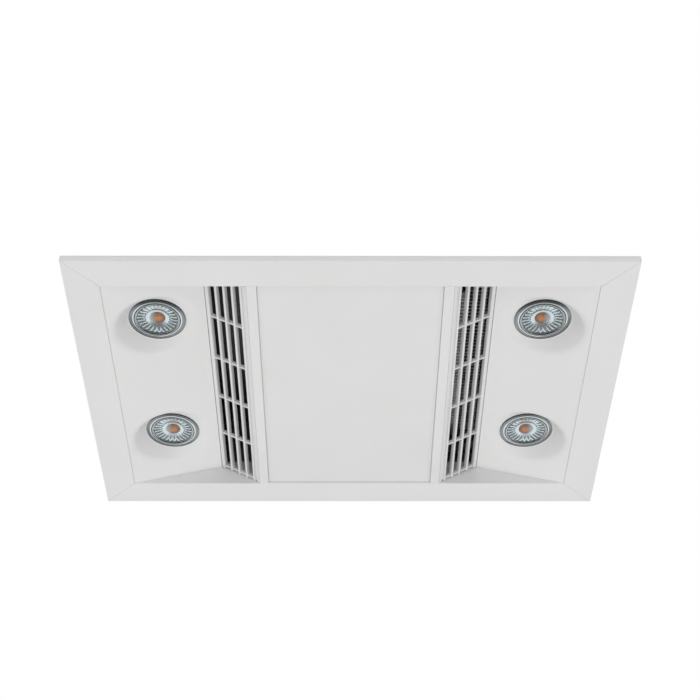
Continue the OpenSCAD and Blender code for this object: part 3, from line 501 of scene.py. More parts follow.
SLOT_MATERIAL = {
    "fascia_enamel": WHITE, "fascia_plastic": MOULDED, "bezel_chrome": CHROME, "lamp_metal": CAST,
    "lens_clear": LENS, "holder_ceramic": CERAMIC, "galvanised": ZINC, "spring_steel": SPRING,
    "shaft_steel": SHAFT, "motor_steel": LACQUER, "copper": COPPER, "fin_aluminium": FIN,
    "black_plastic": DARK, "bush_rubber": RUBBER,
}
# Painted shade: these inner parts, seen through the grille slots, get the darkened zinc instead of the
# plain one
SHADE_NODES = ("deck", "baffle_left", "baffle_right", "outlet_skirt", "warm_casing", "scroll_casing")
for node_name, node_object in frame["nodes"].items():
    in_shade = node_name in SHADE_NODES
    node_object.data.materials.clear()
    node_object.data.materials.append(SHADE_ZINC if in_shade else SLOT_MATERIAL[RECORD_SLOTS[node_name]])


# Fascia border: four mitred extrusions

KEY_CENTRE, KEY_HALF, RIB_T, RIB_H, HOOK_L, HOOK_T = 16, 7.2, 1.2, 3.1, 1.5, 0.9
LIP_R, WEB_R, SHEET_R, INNER_R = 0.9, 0.35, 0.3, 0.5
MITRE_GAP, MITRE_CHAMFER = 0.2, 0.25


def border_outline(web_h):
    """Section of the border: u runs inward from the outer edge, height runs up from the face."""
    drop = -FACE_Z
    points = [(0, 0), (BORDER, 0), (BORDER, web_h), (BORDER - FRAME_T, web_h), (BORDER - FRAME_T, FRAME_T)]
    radii = [LIP_R, WEB_R, SHEET_R, SHEET_R, INNER_R]
    for side in (1, -1):
        rib = [
            (KEY_HALF + RIB_T, FRAME_T), (KEY_HALF + RIB_T, FRAME_T + RIB_H),
            (KEY_HALF - HOOK_L, FRAME_T + RIB_H), (KEY_HALF - HOOK_L, FRAME_T + RIB_H - HOOK_T),
            (KEY_HALF, FRAME_T + RIB_H - HOOK_T), (KEY_HALF, FRAME_T),
        ]
        if side < 0:
            rib.reverse()
        points += [(KEY_CENTRE + side * u, h) for u, h in rib]
        radii += [0] * len(rib)
    points += [(FRAME_T, FRAME_T), (FRAME_T, drop), (0, drop)]
    radii += [INNER_R, SHEET_R, SHEET_R]
    return round_corners(points, radii)


def border(name, length, half, web_h, quarter_turns):
    """One border of a given length along its edge, turned into place from the front."""
    outline = border_outline(web_h)
    rings = []
    for side in (-1, 1):
        ends = []
        for inset, shrink in ((0.0, MITRE_CHAMFER), (MITRE_CHAMFER, 0.0)):
            ends.append([
                Vector((
                    side * (length / 2 - MITRE_GAP / 2 - u - inset),
                    -half + min(max(u, shrink), BORDER - shrink),
                    FACE_Z + max(h, shrink),
                ))
                for u, h in outline
            ])
        rings += ends if side < 0 else reversed(ends)
    bm = bmesh.new()
    loft(bm, rings)
    turn = Matrix.Rotation(math.radians(90 * quarter_turns), 3, "Z")
    bmesh.ops.rotate(bm, matrix=turn, verts=bm.verts)
    piece(name + "_skin", bm, WHITE, replaces=[name])


FULL_WEB = WEB_TOP - FACE_Z
SIDE_WEB = node_box("frame_right")[1].z - FACE_Z
border("frame_front", 2 * FACE_X, FACE_Y, FULL_WEB, 0)
border("frame_right", 2 * FACE_Y, FACE_X, SIDE_WEB, 1)
border("frame_rear", 2 * FACE_X, FACE_Y, FULL_WEB, 2)
border("frame_left", 2 * FACE_Y, FACE_X, SIDE_WEB, 3)


# Centre rails and centre panel

RAIL_INNER_H, RAIL_OUTER_H, RAIL_T = 14, 12, 1.5
TRAY_T, TRAY_R, TRAY_RIB_T, TRAY_RIB_DROP = 2.0, 1.1, 2, 3
END_CHAMFER, END_DRAW = 0.3, 0.12


def straight(bm, outline, half):
    """Extrudes an (x, z) outline from -half to half along y, with a small chamfer at both ends."""
    middle = sum((Vector(p) for p in outline), Vector((0, 0))) / len(outline)
    rings = []
    for y, draw in (
        (-half, END_DRAW), (END_CHAMFER - half, 0), (half - END_CHAMFER, 0), (half, END_DRAW),
    ):
        rings.append([
            Vector((x + math.copysign(draw, middle.x - x), y, z + math.copysign(draw, middle.y - z)))
            for x, z in outline
        ])
    loft(bm, rings)


def centre_rails():
    """A channel on each side of the centre panel, with a web up from either edge."""
    width = RAIL_OUT - RAIL_IN
    points = [
        (0, 0), (width, 0), (width, RAIL_OUTER_H), (width - RAIL_T, RAIL_OUTER_H),
        (width - RAIL_T, RAIL_T), (RAIL_T, RAIL_T), (RAIL_T, RAIL_INNER_H), (0, RAIL_INNER_H),
    ]
    outline = [
        Vector((RAIL_IN + p.x, FACE_Z + p.y))
        for p in round_corners(points, [0.6, 0.6, 0.2, 0.2, 0.4, 0.4, 0.2, 0.2])
    ]
    for name, flip in (("centre_rail_left", True), ("centre_rail_right", False)):
        bm = bmesh.new()
        straight(bm, outline, OPEN_Y - SEEN_GAP)
        piece(name + "_skin", mirrored(bm, flip), WHITE, replaces=[name])


def centre_panel():
    """A shallow tray with rounded lower edges and stiffening ribs on its back."""
    low, high = node_box("centre_panel")
    grow = Vector((FIT - SEEN_GAP, FIT - SEEN_GAP, 0))
    low, high = low - grow, high + grow
    bm = bmesh.new()
    bar(bm, low, high)
    top = [f for f in bm.faces if f.normal.z > 0.9]
    bmesh.ops.inset_region(bm, faces=top, thickness=TRAY_T)
    bmesh.ops.translate(
        bm, vec=(0, 0, -(high.z - low.z - TRAY_T)), verts=list({v for f in top for v in f.verts}),
    )
    outer_edges = [
        e for e in bm.edges
        if all(abs(v.co.z - low.z) < NEAR for v in e.verts) or (
            abs(e.verts[0].co.z - e.verts[1].co.z) > TRAY_T
            and all(abs(abs(v.co.x) - high.x) < NEAR for v in e.verts)
        )
    ]
    bmesh.ops.bevel(bm, geom=outer_edges, offset=TRAY_R, segments=4, profile=0.5, affect="EDGES")
    wall = Vector((TRAY_T, TRAY_T, TRAY_T)) / 2
    rib_low, rib_high = low + wall, high - wall
    rib_high.z = high.z - TRAY_RIB_DROP
    half = TRAY_RIB_T / 2
    for y in (-high.y / 2, 0, high.y / 2):
        bar(bm, (rib_low.x, y - half, rib_low.z), (rib_high.x, y + half, rib_high.z), 0.3)
    for x in (-high.x / 3, high.x / 3):
        bar(bm, (x - half, rib_low.y, rib_low.z), (x + half, rib_high.y, rib_high.z), 0.3)
    piece("centre_panel_skin", bm, MOULDED, replaces=["centre_panel"])


centre_rails()
centre_panel()


# Lamp panels: one pressed sheet each, with two dished lamp seats

HOLE_R = LAMP_R + 2.6
SEAT_R = BEZEL_R + 0.4
DISH_R = 44.8
SEAT_FILLET, SEAT_STEPS, RIM_FILLET, RIM_STEPS = 3.0, 6, 5.5, 8
CELL_STEPS = 112
FOLD_R, FOLD_STEPS = 0.35, 5
END_FOLD, OUTER_FOLD = 3, 1


def panel_z(x):
    """Height of the visible side of the right-hand sheet."""
    return FACE_Z + PANEL_LIFT + (OPEN_X - x) * PANEL_SLOPE


def bezier(a, b, c, steps):
    """Points of a quadratic curve from a to c, without a itself."""
    return [a.lerp(b, t / steps).lerp(b.lerp(c, t / steps), t / steps) for t in range(1, steps + 1)]


def dish_line(angle, lamp_y):
    """Points of the dish from the lamp hole out to the sheet, at one angle round the lamp."""
    out = Vector((math.cos(angle), math.sin(angle), 0))
    centre = Vector((LAMP_X, lamp_y, SEAT_Z))

    def on_sheet(radius):
        p = centre + out * radius
        return Vector((p.x, p.y, panel_z(p.x)))

    seat = centre + out * SEAT_R
    rim = on_sheet(DISH_R)
    wall = (rim - seat).normalized()
    line = [centre + out * HOLE_R, seat - out * SEAT_FILLET]
    line += bezier(line[-1], seat, seat + wall * SEAT_FILLET, SEAT_STEPS)
    line.append(rim - wall * RIM_FILLET)
    line += bezier(line[-1], rim, on_sheet(DISH_R + RIM_FILLET), RIM_STEPS)
    line.append(on_sheet(DISH_R + RIM_FILLET + 0.4))
    return line


def cell_edge(angle, lamp_y, low, high):
    """Where a ray from the lamp's middle meets the edge of its rectangle of sheet."""
    dx, dy = math.cos(angle), math.sin(angle)
    reach = []
    if abs(dx) > 1e-9:
        reach.append(((high[0] if dx > 0 else low[0]) - LAMP_X) / dx)
    if abs(dy) > 1e-9:
        reach.append(((high[1] if dy > 0 else low[1]) - lamp_y) / dy)
    radius = min(reach)
    x, y = LAMP_X + dx * radius, lamp_y + dy * radius
    return Vector((x, y, panel_z(x)))


def dished_cell(bm, lamp_y, low, high):
    """One lamp's half of the sheet, as a grid from its hole to the edges of the half."""
    corners = [math.atan2(y - lamp_y, x - LAMP_X) for x in (low[0], high[0]) for y in (low[1], high[1])]
    angles = [math.tau * k / CELL_STEPS - math.pi for k in range(CELL_STEPS)]
    near = math.pi / CELL_STEPS / 2
    angles = sorted(corners + [a for a in angles if all(abs(a - c) > near for c in corners)])
    lines = []
    for angle in angles:
        line = dish_line(angle, lamp_y)
        line.append(cell_edge(angle, lamp_y, low, high))
        lines.append([bm.verts.new(p) for p in line])
    for a, b in zip(lines, lines[1:] + lines[:1]):
        for i in range(len(a) - 1):
            bm.faces.new((a[i], a[i + 1], b[i + 1], b[i]))


def extruded(bm, edges):
    """Extrudes edges, and gives the new corners and the new edges."""
    made = bmesh.ops.extrude_edge_only(bm, edges=edges)["geom"]
    return (
        [g for g in made if isinstance(g, bmesh.types.BMVert)],
        [g for g in made if isinstance(g, bmesh.types.BMEdge)],
    )


def fold_up(bm, edge_x, direction, top):
    """Turns the sheet's edge at edge_x up through an arc, then straight to a height."""
    edges = [e for e in bm.edges if e.is_boundary and all(abs(v.co.x - edge_x) < NEAR for v in e.verts)]
    start = math.atan(PANEL_SLOPE) * direction
    arc = []
    for k in range(FOLD_STEPS + 1):
        a = start + (math.pi / 2 - start) * k / FOLD_STEPS
        arc.append(Vector((direction * FOLD_R * math.sin(a), 0, -FOLD_R * math.cos(a))))
    steps = [b - a for a, b in zip(arc, arc[1:])]
    steps.append(Vector((0, 0, top - panel_z(edge_x) - sum(s.z for s in steps))))
    for step in steps:
        corners, edges = extruded(bm, edges)
        bmesh.ops.translate(bm, vec=step, verts=corners)


def lamp_panel(name, flip):
    """The right-hand sheet, or its mirror: two dished cells, folds at both sides and at both ends."""
    bm = bmesh.new()
    edge_x, edge_y = OPEN_X - SEEN_GAP, OPEN_Y - SEEN_GAP
    low, high = (DEEP_X + FOLD_R, -edge_y), (edge_x - FOLD_R, edge_y)
    dished_cell(bm, -LAMP_Y, low, (high[0], 0))
    dished_cell(bm, LAMP_Y, (low[0], 0), high)
    bmesh.ops.remove_doubles(bm, verts=bm.verts, dist=NEAR)
    fold_up(bm, low[0], -1, WEB_TOP)
    fold_up(bm, high[0], 1, PANEL_LIFT + OUTER_FOLD)
    for side in (-1, 1):
        edges = [
            e for e in bm.edges
            if e.is_boundary and all(abs(v.co.y - side * edge_y) < NEAR for v in e.verts)
            and max(v.co.z for v in e.verts) < DEEP_Z + 0.5
        ]
        for v in extruded(bm, edges)[0]:
            v.co.z = DEEP_Z + END_FOLD
    obj = piece(name + "_skin", mirrored(bm, flip), WHITE, replaces=[name])
    thick = obj.modifiers.new("sheet", "SOLIDIFY")
    thick.thickness = PANEL_T * MM
    thick.offset = -1
    thick.use_even_offset = True


lamp_panel("lamp_panel_right", False)
lamp_panel("lamp_panel_left", True)


# Grilles: sloping slats joined by set-back ties

GRILLE_RUN = DEEP_X - RAIL_OUT
GRILLE_TILT = math.atan((DEEP_Z - FACE_Z) / GRILLE_RUN)
GRILLE_LEN = math.hypot(GRILLE_RUN, DEEP_Z - FACE_Z)
SLAT_PITCH, SLAT_T, SLAT_D, SLAT_ROUND = 10.57, 2.5, 5.5, 0.45
TOP_START, TOP_SLAT, LAST_SLOT = 0.5, 4.4, 3.0
EDGE_T, EDGE_OVERRUN, WEB_BACK = SLAT_D - 2, 2, 1.8
TIE_T, TIE_BACK, TIE_BAYS, TIE_INSET = 1.8, 1.0, 5, 2.0
SLAT_END = node_box("grille_right")[1].y
TIE_Y = OPEN_Y - 2.4
LUG_SPREAD, LUG_HALF, LUG_L, LUG_T, LUG_LOW = 0.6, 6, 4, 2, 2.2


def grille(name, flip):
    """The left-hand grille, drawn down its slope and then turned; the other one is its mirror."""
    place = Matrix.Translation((-DEEP_X, 0, DEEP_Z)) @ Matrix.Rotation(GRILLE_TILT, 4, "Y")
    bm = bmesh.new()
    start, end = TOP_START, TOP_START + TOP_SLAT
    while end + LAST_SLOT < GRILLE_LEN:
        part = bmesh.new()
        straight(part, round_corners(
            [(start, 0), (end, 0), (end, SLAT_D), (start, SLAT_D)], [SLAT_ROUND, SLAT_ROUND, 0.15, 0.15],
        ), SLAT_END)
        merge(bm, part, place)
        last = end
        start, end = end + SLAT_PITCH - SLAT_T, end + SLAT_PITCH

    part = bmesh.new()
    edge, foot = last + LAST_SLOT, GRILLE_LEN + EDGE_OVERRUN
    straight(part, round_corners(
        [(edge, 0), (foot, 0), (foot, EDGE_T), (edge, EDGE_T)], [SLAT_ROUND, 0, 0, 0],
    ), SLAT_END)
    bar(part, (last - SLAT_T / 2, -TIE_Y, WEB_BACK), (edge + 1, TIE_Y, EDGE_T - 0.1))
    for k in range(TIE_BAYS + 1):
        reach = TIE_Y - (TIE_INSET if k in (0, TIE_BAYS) else 0)
        y = -reach + 2 * reach * k / TIE_BAYS
        bar(part, (TOP_START, y - TIE_T / 2, TIE_BACK), (foot, y + TIE_T / 2, SLAT_D - 0.1), 0.2)
    bmesh.ops.transform(part, matrix=place, verts=part.verts)
    cut = bmesh.ops.bisect_plane(
        part, geom=part.verts[:] + part.edges[:] + part.faces[:], dist=1e-5,
        plane_co=(-RAIL_OUT - SEEN_GAP, 0, 0), plane_no=(1, 0, 0), clear_outer=True,
    )["geom_cut"]
    bmesh.ops.holes_fill(part, edges=[g for g in cut if isinstance(g, bmesh.types.BMEdge)], sides=0)
    merge(bm, part)

    low = Vector((FIT - DEEP_X, -LUG_HALF, DEEP_Z + LUG_LOW))
    high = low + Vector((LUG_L, 2 * LUG_HALF, LUG_T))
    for y in (-TIE_Y * LUG_SPREAD, 0, TIE_Y * LUG_SPREAD):
        bar(bm, low + Vector((0, y, 0)), high + Vector((0, y, 0)), 0.3)
    piece(name + "_skin", mirrored(bm, flip), MOULDED, replaces=[name])


grille("grille_left", False)
grille("grille_right", True)


# Lamps: bezel, body, fluted reflector, light source and lens

COLLAR_R, COLLAR_T = LAMP_R + 2.3, 1.1
RIM_IN, LENS_R = LAMP_R - 2.2, LAMP_R - 2.4
CREST_R = LAMP_R + 2.6
FLUTES, FLUTE_STEPS, FLUTE_RINGS, FLUTE_OUT, FLUTE_IN = 26, 12, 8, 21.9, 13.6
FLUTE_FOOT, FLUTE_RISE, SWELL, SWELL_LOSS = 0.5, 0.9, 1.3, 0.6
BEADS, BEAD_R, BEAD_SIZE = 22, 13.3, 0.9
BODY_FINS, PIN_SPREAD, PIN_H = 12, 5, 6.2
DOME_R, DOME_FOOT, DOME_H = 8.5, 2.0, 2.6
LENS_BACK, CROWN_H, CROWN_STEPS = 0.2, 0.1, 8


def bezel(corner, centre):
    """Pressed ring: a polished lip round the lamp, a groove, then a satin cone out to a proud edge."""
    inner, outer = COLLAR_R - COLLAR_T, BEZEL_R - 0.3
    bm = bmesh.new()
    outline = round_corners(
        [
            (inner, 9), (inner, 0.6), (LAMP_R + 0.8, 0.1), (LAMP_R + 0.8, -1.75), (CREST_R - 0.3, -1.55),
            (CREST_R, -1.3), (CREST_R + 0.3, -1.6), (outer - 1.2, -1.1), (outer - 1.0, -0.3),
            (outer - 0.4, -0.3), (outer - 0.3, -0.9), (outer, -0.8), (outer, -0.02),
            (COLLAR_R, -0.02), (COLLAR_R, 9),
        ],
        [0, 0.3, 0.15, 0.1, 0.15, 0, 0.15, 0.1, 0, 0, 0.05, 0.1, 0, 0, 0],
    )
    lathe(bm, outline, centre, steps=128)
    for face in bm.faces:
        middle = face.calc_center_median() - Vector(centre)
        face.material_index = int(middle.xy.length < CREST_R - 0.02)
    keep_flats_flat(piece(f"bezel_{corner}_skin", bm, [CHROME, POLISHED], replaces=["bezel_" + corner]))


def lamp_shell(corner, centre, body):
    """Finned body with its rim at the front and two headed pins at the back."""
    base_z = node_box("lamp_" + corner)[1].z - centre[2] - PIN_H
    bm = bmesh.new()
    shell = round_corners(
        [
            (RIM_IN, 0.5), (RIM_IN, -1.3), (RIM_IN + 0.6, -1.3), (RIM_IN + 0.8, -LAMP_PROUD),
            (LAMP_R, -LAMP_PROUD), (LAMP_R, 2.8), (LAMP_R - 1.4, 3.6), (15.5, base_z - 13),
            (13, base_z - 10.5), (13, base_z), (10, base_z),
        ],
        [0, 0.1, 0.1, 0.35, 0.6, 0.5, 0.8, 1.0, 1.0, 0.8, 0],
    )
    lathe(bm, shell + [Vector((0, base_z))], centre, steps=96, closed=False)
    for k in range(BODY_FINS):
        turn = Matrix.Translation(centre) @ Matrix.Rotation(math.tau * k / BODY_FINS, 4, "Z")
        fin = [(LAMP_R - 6, 14), (LAMP_R - 4, 16), (LAMP_R - 6, base_z - 13), (15, base_z - 13)]
        part = bmesh.new()
        loft(part, [[Vector((r, t, z)) for r, z in fin] for t in (-0.8, 0.8)])
        merge(bm, part, turn)
    for side in (-1, 1):
        pin = (centre[0] + side * PIN_SPREAD, centre[1], centre[2] + base_z)
        profile = flat_points(
            (0, -1), (1.5, -1), (1.5, 3.9), (2.4, 3.9), (2.4, 5.8), (2.0, PIN_H), (0, PIN_H),
        )
        lathe(bm, profile, pin, steps=24, closed=False)
    keep_flats_flat(piece(f"lamp_{corner}_skin", bm, CAST, body=body, replaces=["lamp_" + corner]))


def reflector(corner, centre, body):
    """Round flutes on a shallow dish, a ring of beads, then a smooth cone down to the light source."""
    around = FLUTES * FLUTE_STEPS
    waves = [abs(math.sin(FLUTES * math.pi * k / around)) ** 0.8 for k in range(around)]
    rings = []
    for step in range(FLUTE_RINGS + 1):
        t = step / FLUTE_RINGS
        swell = (SWELL - SWELL_LOSS * t) * math.sin(math.pi * min(1, 0.12 + t * 0.9)) ** 0.5
        radius, height = FLUTE_OUT + (FLUTE_IN - FLUTE_OUT) * t, FLUTE_FOOT + FLUTE_RISE * t
        ring = circle(radius, height, around, centre)
        for point, wave in zip(ring, waves):
            point.z -= swell * wave
        rings.append(ring)
    for radius, height in ((13.2, 0.9), (11.7, 1.2), (10.2, 1.5), (8.7, 1.8), (8.7, 2.6)):
        rings.append(circle(radius, height, around, centre))
    bm = bmesh.new()
    loft(bm, rings, caps=False)
    lathe(bm, flat_points((RIM_IN, -0.6), (FLUTE_OUT, FLUTE_FOOT)), centre, around, closed=False)
    for k in range(BEADS):
        turn = Matrix.Rotation(math.tau * (k + 0.5) / BEADS, 4, "Z")
        bead = turn @ Matrix.Translation((BEAD_R, 0, BEAD_SIZE)) @ Matrix.Diagonal((1.0, 0.5, 0.6, 1))
        part = bmesh.new()
        bmesh.ops.create_icosphere(part, subdivisions=2, radius=BEAD_SIZE)
        merge(bm, part, Matrix.Translation(centre) @ bead)
    piece(f"reflector_{corner}", bm, REFLECTOR, body=body, slot="lamp_metal", smooth_deg=50)


def light_source(corner, centre, body):
    """Low dome of clear-coated phosphor."""
    arc = [math.radians(9 * k) for k in range(10)]
    dome = [Vector((DOME_R * math.cos(a), DOME_FOOT - DOME_H * math.sin(a))) for a in arc]
    bm = bmesh.new()
    lathe(bm, dome + [Vector((0, DOME_FOOT - DOME_H))], centre, steps=64, closed=False)
    piece(f"light_source_{corner}", bm, PHOSPHOR, body=body, slot="lamp_metal")


def lens(corner, centre, body):
    """Clear moulded cover with a stepped rim and a slightly crowned face."""
    face = -LAMP_PROUD + LENS_BACK
    crown = [
        Vector((LENS_R * k / CROWN_STEPS, face - CROWN_H * (1 - (k / CROWN_STEPS) ** 2)))
        for k in range(CROWN_STEPS)
    ]
    rim = flat_points(
        (LENS_R - 0.5, face + 0.02), (LENS_R - 0.25, face + 0.12), (LENS_R - 0.25, face + 0.9),
        (0, face + 0.9),
    )
    bm = bmesh.new()
    lathe(bm, crown + rim, centre, steps=96, closed=False)
    piece(f"lens_{corner}_skin", bm, LENS, body=body, replaces=["lens_" + corner])


for corner, (side_x, side_y) in CORNERS.items():
    lamp_centre = (side_x * LAMP_X, side_y * LAMP_Y, SEAT_Z)
    spot = "spot_" + corner
    bezel(corner, lamp_centre)
    lamp_shell(corner, lamp_centre, spot)
    reflector(corner, lamp_centre, spot)
    light_source(corner, lamp_centre, spot)
    lens(corner, lamp_centre, spot)


# Housing: a lid over the folded body, riveted corner seams and the screws that hang the fan motor

HOUSING_HIGH = node_box("housing")[1]
FLANGE_W = 18
WALL_X, WALL_Y = HOUSING_HIGH.x - FLANGE_W, HOUSING_HIGH.y - FLANGE_W
LID_T, LID_SKIRT, SEAM_W, SEAM_T = 0.9, 14, 16, 0.8
LID_RIB_Y, LID_RIB_HALF, LID_RIB_H, LID_RIB_END = 150, 5, 1.6, 40
SIDE_RIVETS, FRONT_RIVETS, SEAM_RIVETS, SEAM_MARGIN = (-120, 0, 120), (-220, -75, 75, 220), 4, 18
MOTOR_RIM, ARM_REACH = 2, 20
HEX_DRAW, HEX_CHAMFER, HALF_HEAD_STEPS = 0.94, 0.5, 8


def facing(point, direction):
    """A place whose +Z looks along a direction."""
    return Matrix.Translation(point) @ Vector(direction).to_track_quat("Z", "Y").to_matrix().to_4x4()


def turned(bm, profile, place, steps=32, closed=False):
    """A solid of revolution about +Z, moved to its place."""
    part = bmesh.new()
    lathe(part, profile, steps=steps, closed=closed)
    merge(bm, part, place)


def rivet(bm, point, direction):
    """Low domed rivet head that looks along a direction."""
    profile = flat_points((0, 1.1), (1.2, 0.95), (2.1, 0.5), (2.4, 0), (0, 0))
    turned(bm, profile, facing(point, direction), steps=16)


def slotted_head(bm, place, radius, height, slot):
    """Screw head of two half domes on a disc, with the slot between them."""
    turned(bm, flat_points((0, height * 0.4), (radius, height * 0.4), (radius, 0), (0, 0)), place)
    for side in (1, -1):
        rings = []
        for z, r in ((height * 0.4, radius), (height * 0.8, radius * 0.94), (height, radius * 0.7)):
            reach = math.acos(slot / 2 / r)
            arc = [reach * k / HALF_HEAD_STEPS for k in range(-HALF_HEAD_STEPS, HALF_HEAD_STEPS + 1)]
            rings.append([Vector((side * r * math.cos(a), r * math.sin(a), z)) for a in arc])
        part = bmesh.new()
        loft(part, rings)
        merge(bm, part, place)


def hexagon(bm, place, radius, low, high, bore=0):
    """Hexagon with chamfered corners at both ends, solid or with a hexagonal bore."""
    drawn = radius * HEX_DRAW
    rings = [
        circle(drawn, low, 6), circle(radius, low + HEX_CHAMFER, 6),
        circle(radius, high - HEX_CHAMFER, 6), circle(drawn, high, 6),
    ]
    if bore:
        rings += [circle(bore, high, 6), circle(bore, low, 6), rings[0]]
    part = bmesh.new()
    loft(part, rings, caps=not bore)
    merge(bm, part, place)


def housing_lid():
    """Roof plate with a riveted skirt on three sides and two pressed ribs."""
    top, low = HOUSING_HIGH.z, HOUSING_HIGH.z - LID_SKIRT
    out_x, out_y = WALL_X + LID_T, WALL_Y + LID_T
    bm = bmesh.new()
    bar(bm, (-out_x, -out_y, top - 0.1), (out_x, out_y, top + LID_T), 0.3)
    bar(bm, (-out_x, -out_y, low), (out_x, -WALL_Y + 0.1, top), 0.25)
    rib_x, rivet_z = WALL_X - LID_RIB_END, low + LID_SKIRT / 2
    for side in (-1, 1):
        inner, outer = sorted((side * (WALL_X - 0.1), side * out_x))
        rib_y = side * LID_RIB_Y
        bar(bm, (inner, -out_y, low), (outer, out_y, top), 0.25)
        bar(bm, (-rib_x, rib_y - LID_RIB_HALF, top), (rib_x, rib_y + LID_RIB_HALF, top + LID_RIB_H), 0.9, 3)
        for y in SIDE_RIVETS:
            rivet(bm, (side * out_x, y, rivet_z), (side, 0, 0))
    for x in FRONT_RIVETS:
        rivet(bm, (x, -out_y, rivet_z), (0, -1, 0))
    piece("housing_lid", bm, ZINC, slot="galvanised")


def housing_seams():
    """Flaps folded round the four corners, each with a row of rivets."""
    bm = bmesh.new()
    top = HOUSING_HIGH.z - LID_SKIRT - 0.5
    for side_x in (-1, 1):
        for side_y in (-1, 1):
            x0, x1 = sorted((side_x * (WALL_X - SEAM_W), side_x * (WALL_X - 0.3)))
            y0, y1 = sorted((side_y * (WALL_Y - 0.1), side_y * (WALL_Y + SEAM_T)))
            bar(bm, (x0, y0, 1), (x1, y1, top), 0.2)
            for k in range(SEAM_RIVETS):
                z = SEAM_MARGIN + (top - 2 * SEAM_MARGIN) * k / (SEAM_RIVETS - 1)
                rivet(bm, (side_x * (WALL_X - SEAM_W / 2), side_y * (WALL_Y + SEAM_T), z), (0, side_y, 0))
    piece("housing_seams", bm, ZINC, slot="galvanised")


def hanging_screws():
    """Hexagon screws on washers, over the three rubber bushes of the fan motor."""
    low, high = node_box("exhaust_shaft")
    motor_low, motor_high = node_box("exhaust_motor")
    arm = (motor_high.x - motor_low.x) / 2 - MOTOR_RIM + ARM_REACH
    roof = ((low.x + high.x) / 2, (low.y + high.y) / 2, HOUSING_HIGH.z + LID_T)
    washer = flat_points((0, 0.8), (6.2, 0.8), (6.5, 0.5), (6.5, 0), (0, 0))
    bm = bmesh.new()
    for degrees in (90, 210, 330):
        a = math.radians(degrees)
        place = Matrix.Translation(Vector(roof) + Vector((arm * math.cos(a), arm * math.sin(a), 0)))
        turned(bm, washer, place)
        hexagon(bm, place, radius=4.0, low=0.7, high=3.2)
    piece("hanging_screws", bm, SPRING, slot="spring_steel")


housing_lid()
housing_seams()
hanging_screws()


# Duct bead, terminal cover and cable gland

SPIGOT_COLLAR = 2
COVER_T, COVER_LIP, COVER_SCREW_IN, COVER_SCREW_H = 1.2, 6, 8, 1.6
GLAND_R, GLAND_BORE, GLAND_NUT, GLAND_LOCK, GLAND_RIBS, BOX_T = 8, 4, 6, 5, 12, 1.2


def duct_bead():
    """Rolled bead and hem near the open end of the duct spigot."""
    low, high = node_box("duct_spigot")
    radius = (high.x - low.x) / 2 - SPIGOT_COLLAR
    middle = ((low.x + high.x) / 2, high.y, (low.z + high.z) / 2)
    bead = [(-0.3, -15), (0.5, -14.4), (1.2, -12.5), (0.5, -10.6), (-0.3, -10)]
    hem = [(-0.3, -2.4), (0.5, -2.0), (0.5, -0.3), (-0.3, -0.05)]
    bm = bmesh.new()
    for outline in (bead, hem):
        profile = [Vector((radius + proud, along)) for proud, along in outline]
        turned(bm, profile, facing(middle, (0, 1, 0)), steps=96, closed=True)
    piece("duct_bead", bm, ZINC, slot="galvanised")


def terminal_cover():
    """Cover plate with softened edges, its two lips and two slotted screws."""
    low, high = node_box("terminal_cover")
    face_y = high.y - COVER_SCREW_H
    back_y = face_y - COVER_T
    bm = bmesh.new()
    bar(bm, (low.x, back_y, low.z), (high.x, face_y, high.z), 0.4, 3)
    inset = COVER_T + 0.2 + COVER_SCREW_IN
    for z in (low.z + COVER_T + 0.2, high.z - 2 * COVER_T - 0.2):
        bar(bm, (low.x + inset, back_y - COVER_LIP, z), (high.x - inset, back_y + 0.2, z + COVER_T), 0.2)
    for x, degrees in ((low.x + COVER_SCREW_IN, 20), (high.x - COVER_SCREW_IN, 75)):
        turn = Matrix.Rotation(math.radians(degrees), 4, "Z")
        place = facing((x, face_y, (low.z + high.z) / 2), (0, 1, 0)) @ turn
        slotted_head(bm, place, radius=3.5, height=COVER_SCREW_H, slot=0.9)
    piece("terminal_cover_skin", bm, ZINC, replaces=["terminal_cover"])


def cable_gland():
    """Hexagon body and lock nut, and a ribbed dome with a rounded mouth round the cable's hole."""
    low, high = node_box("cable_gland")
    box_x = node_box("terminal_box")[1].x
    place = facing((box_x, (low.y + high.y) / 2, (low.z + high.z) / 2), (1, 0, 0))
    start, end, radius = low.x - box_x, high.x - box_x, GLAND_R
    bm = bmesh.new()
    sleeve = round_corners(
        [
            (GLAND_BORE, start), (radius, start), (radius, GLAND_NUT), (radius + 1.4, GLAND_NUT),
            (radius - 1, end), (GLAND_BORE, end),
        ],
        [0.4, 0.4, 0, 0.8, 2.2, 1.2],
    )
    turned(bm, sleeve, place, steps=48, closed=True)
    hexagon(bm, place, radius + 3, 0, GLAND_NUT, radius - 1)
    hexagon(bm, place, radius + 2.5, -BOX_T - GLAND_LOCK, -BOX_T, radius - 1)
    for k in range(GLAND_RIBS):
        turn = place @ Matrix.Rotation(math.tau * k / GLAND_RIBS, 4, "Z")
        bar(bm, (radius - 0.6, -0.5, GLAND_NUT + 1.2), (radius + 1.3, 0.5, end - 4.5), 0.3, matrix=turn)
    piece("cable_gland_skin", bm, DARK, replaces=["cable_gland"])


duct_bead()
terminal_cover()
cable_gland()


# Stage: a piece of white ceiling, then in metres a floor a storey below, soft lights and the camera

CUTOUT_GAP, CEILING_HALF, CEILING_T, CEILING_CLEAR = 2, (640, 500), 10, 0.05
FLOOR_HALF, FLOOR_Z = 9.0, -2.4
CARD_FROM, CARD_TO = -1.6, 1.8
ORIGIN = (0, 0, 0)
CAMERA_AT, PITCH_YAW_ROLL = (-0.0066, -1.2320, -1.0619), (42.26, 0.32, -0.18)
FOCAL_MM, SENSOR_MM = 73.34, 36


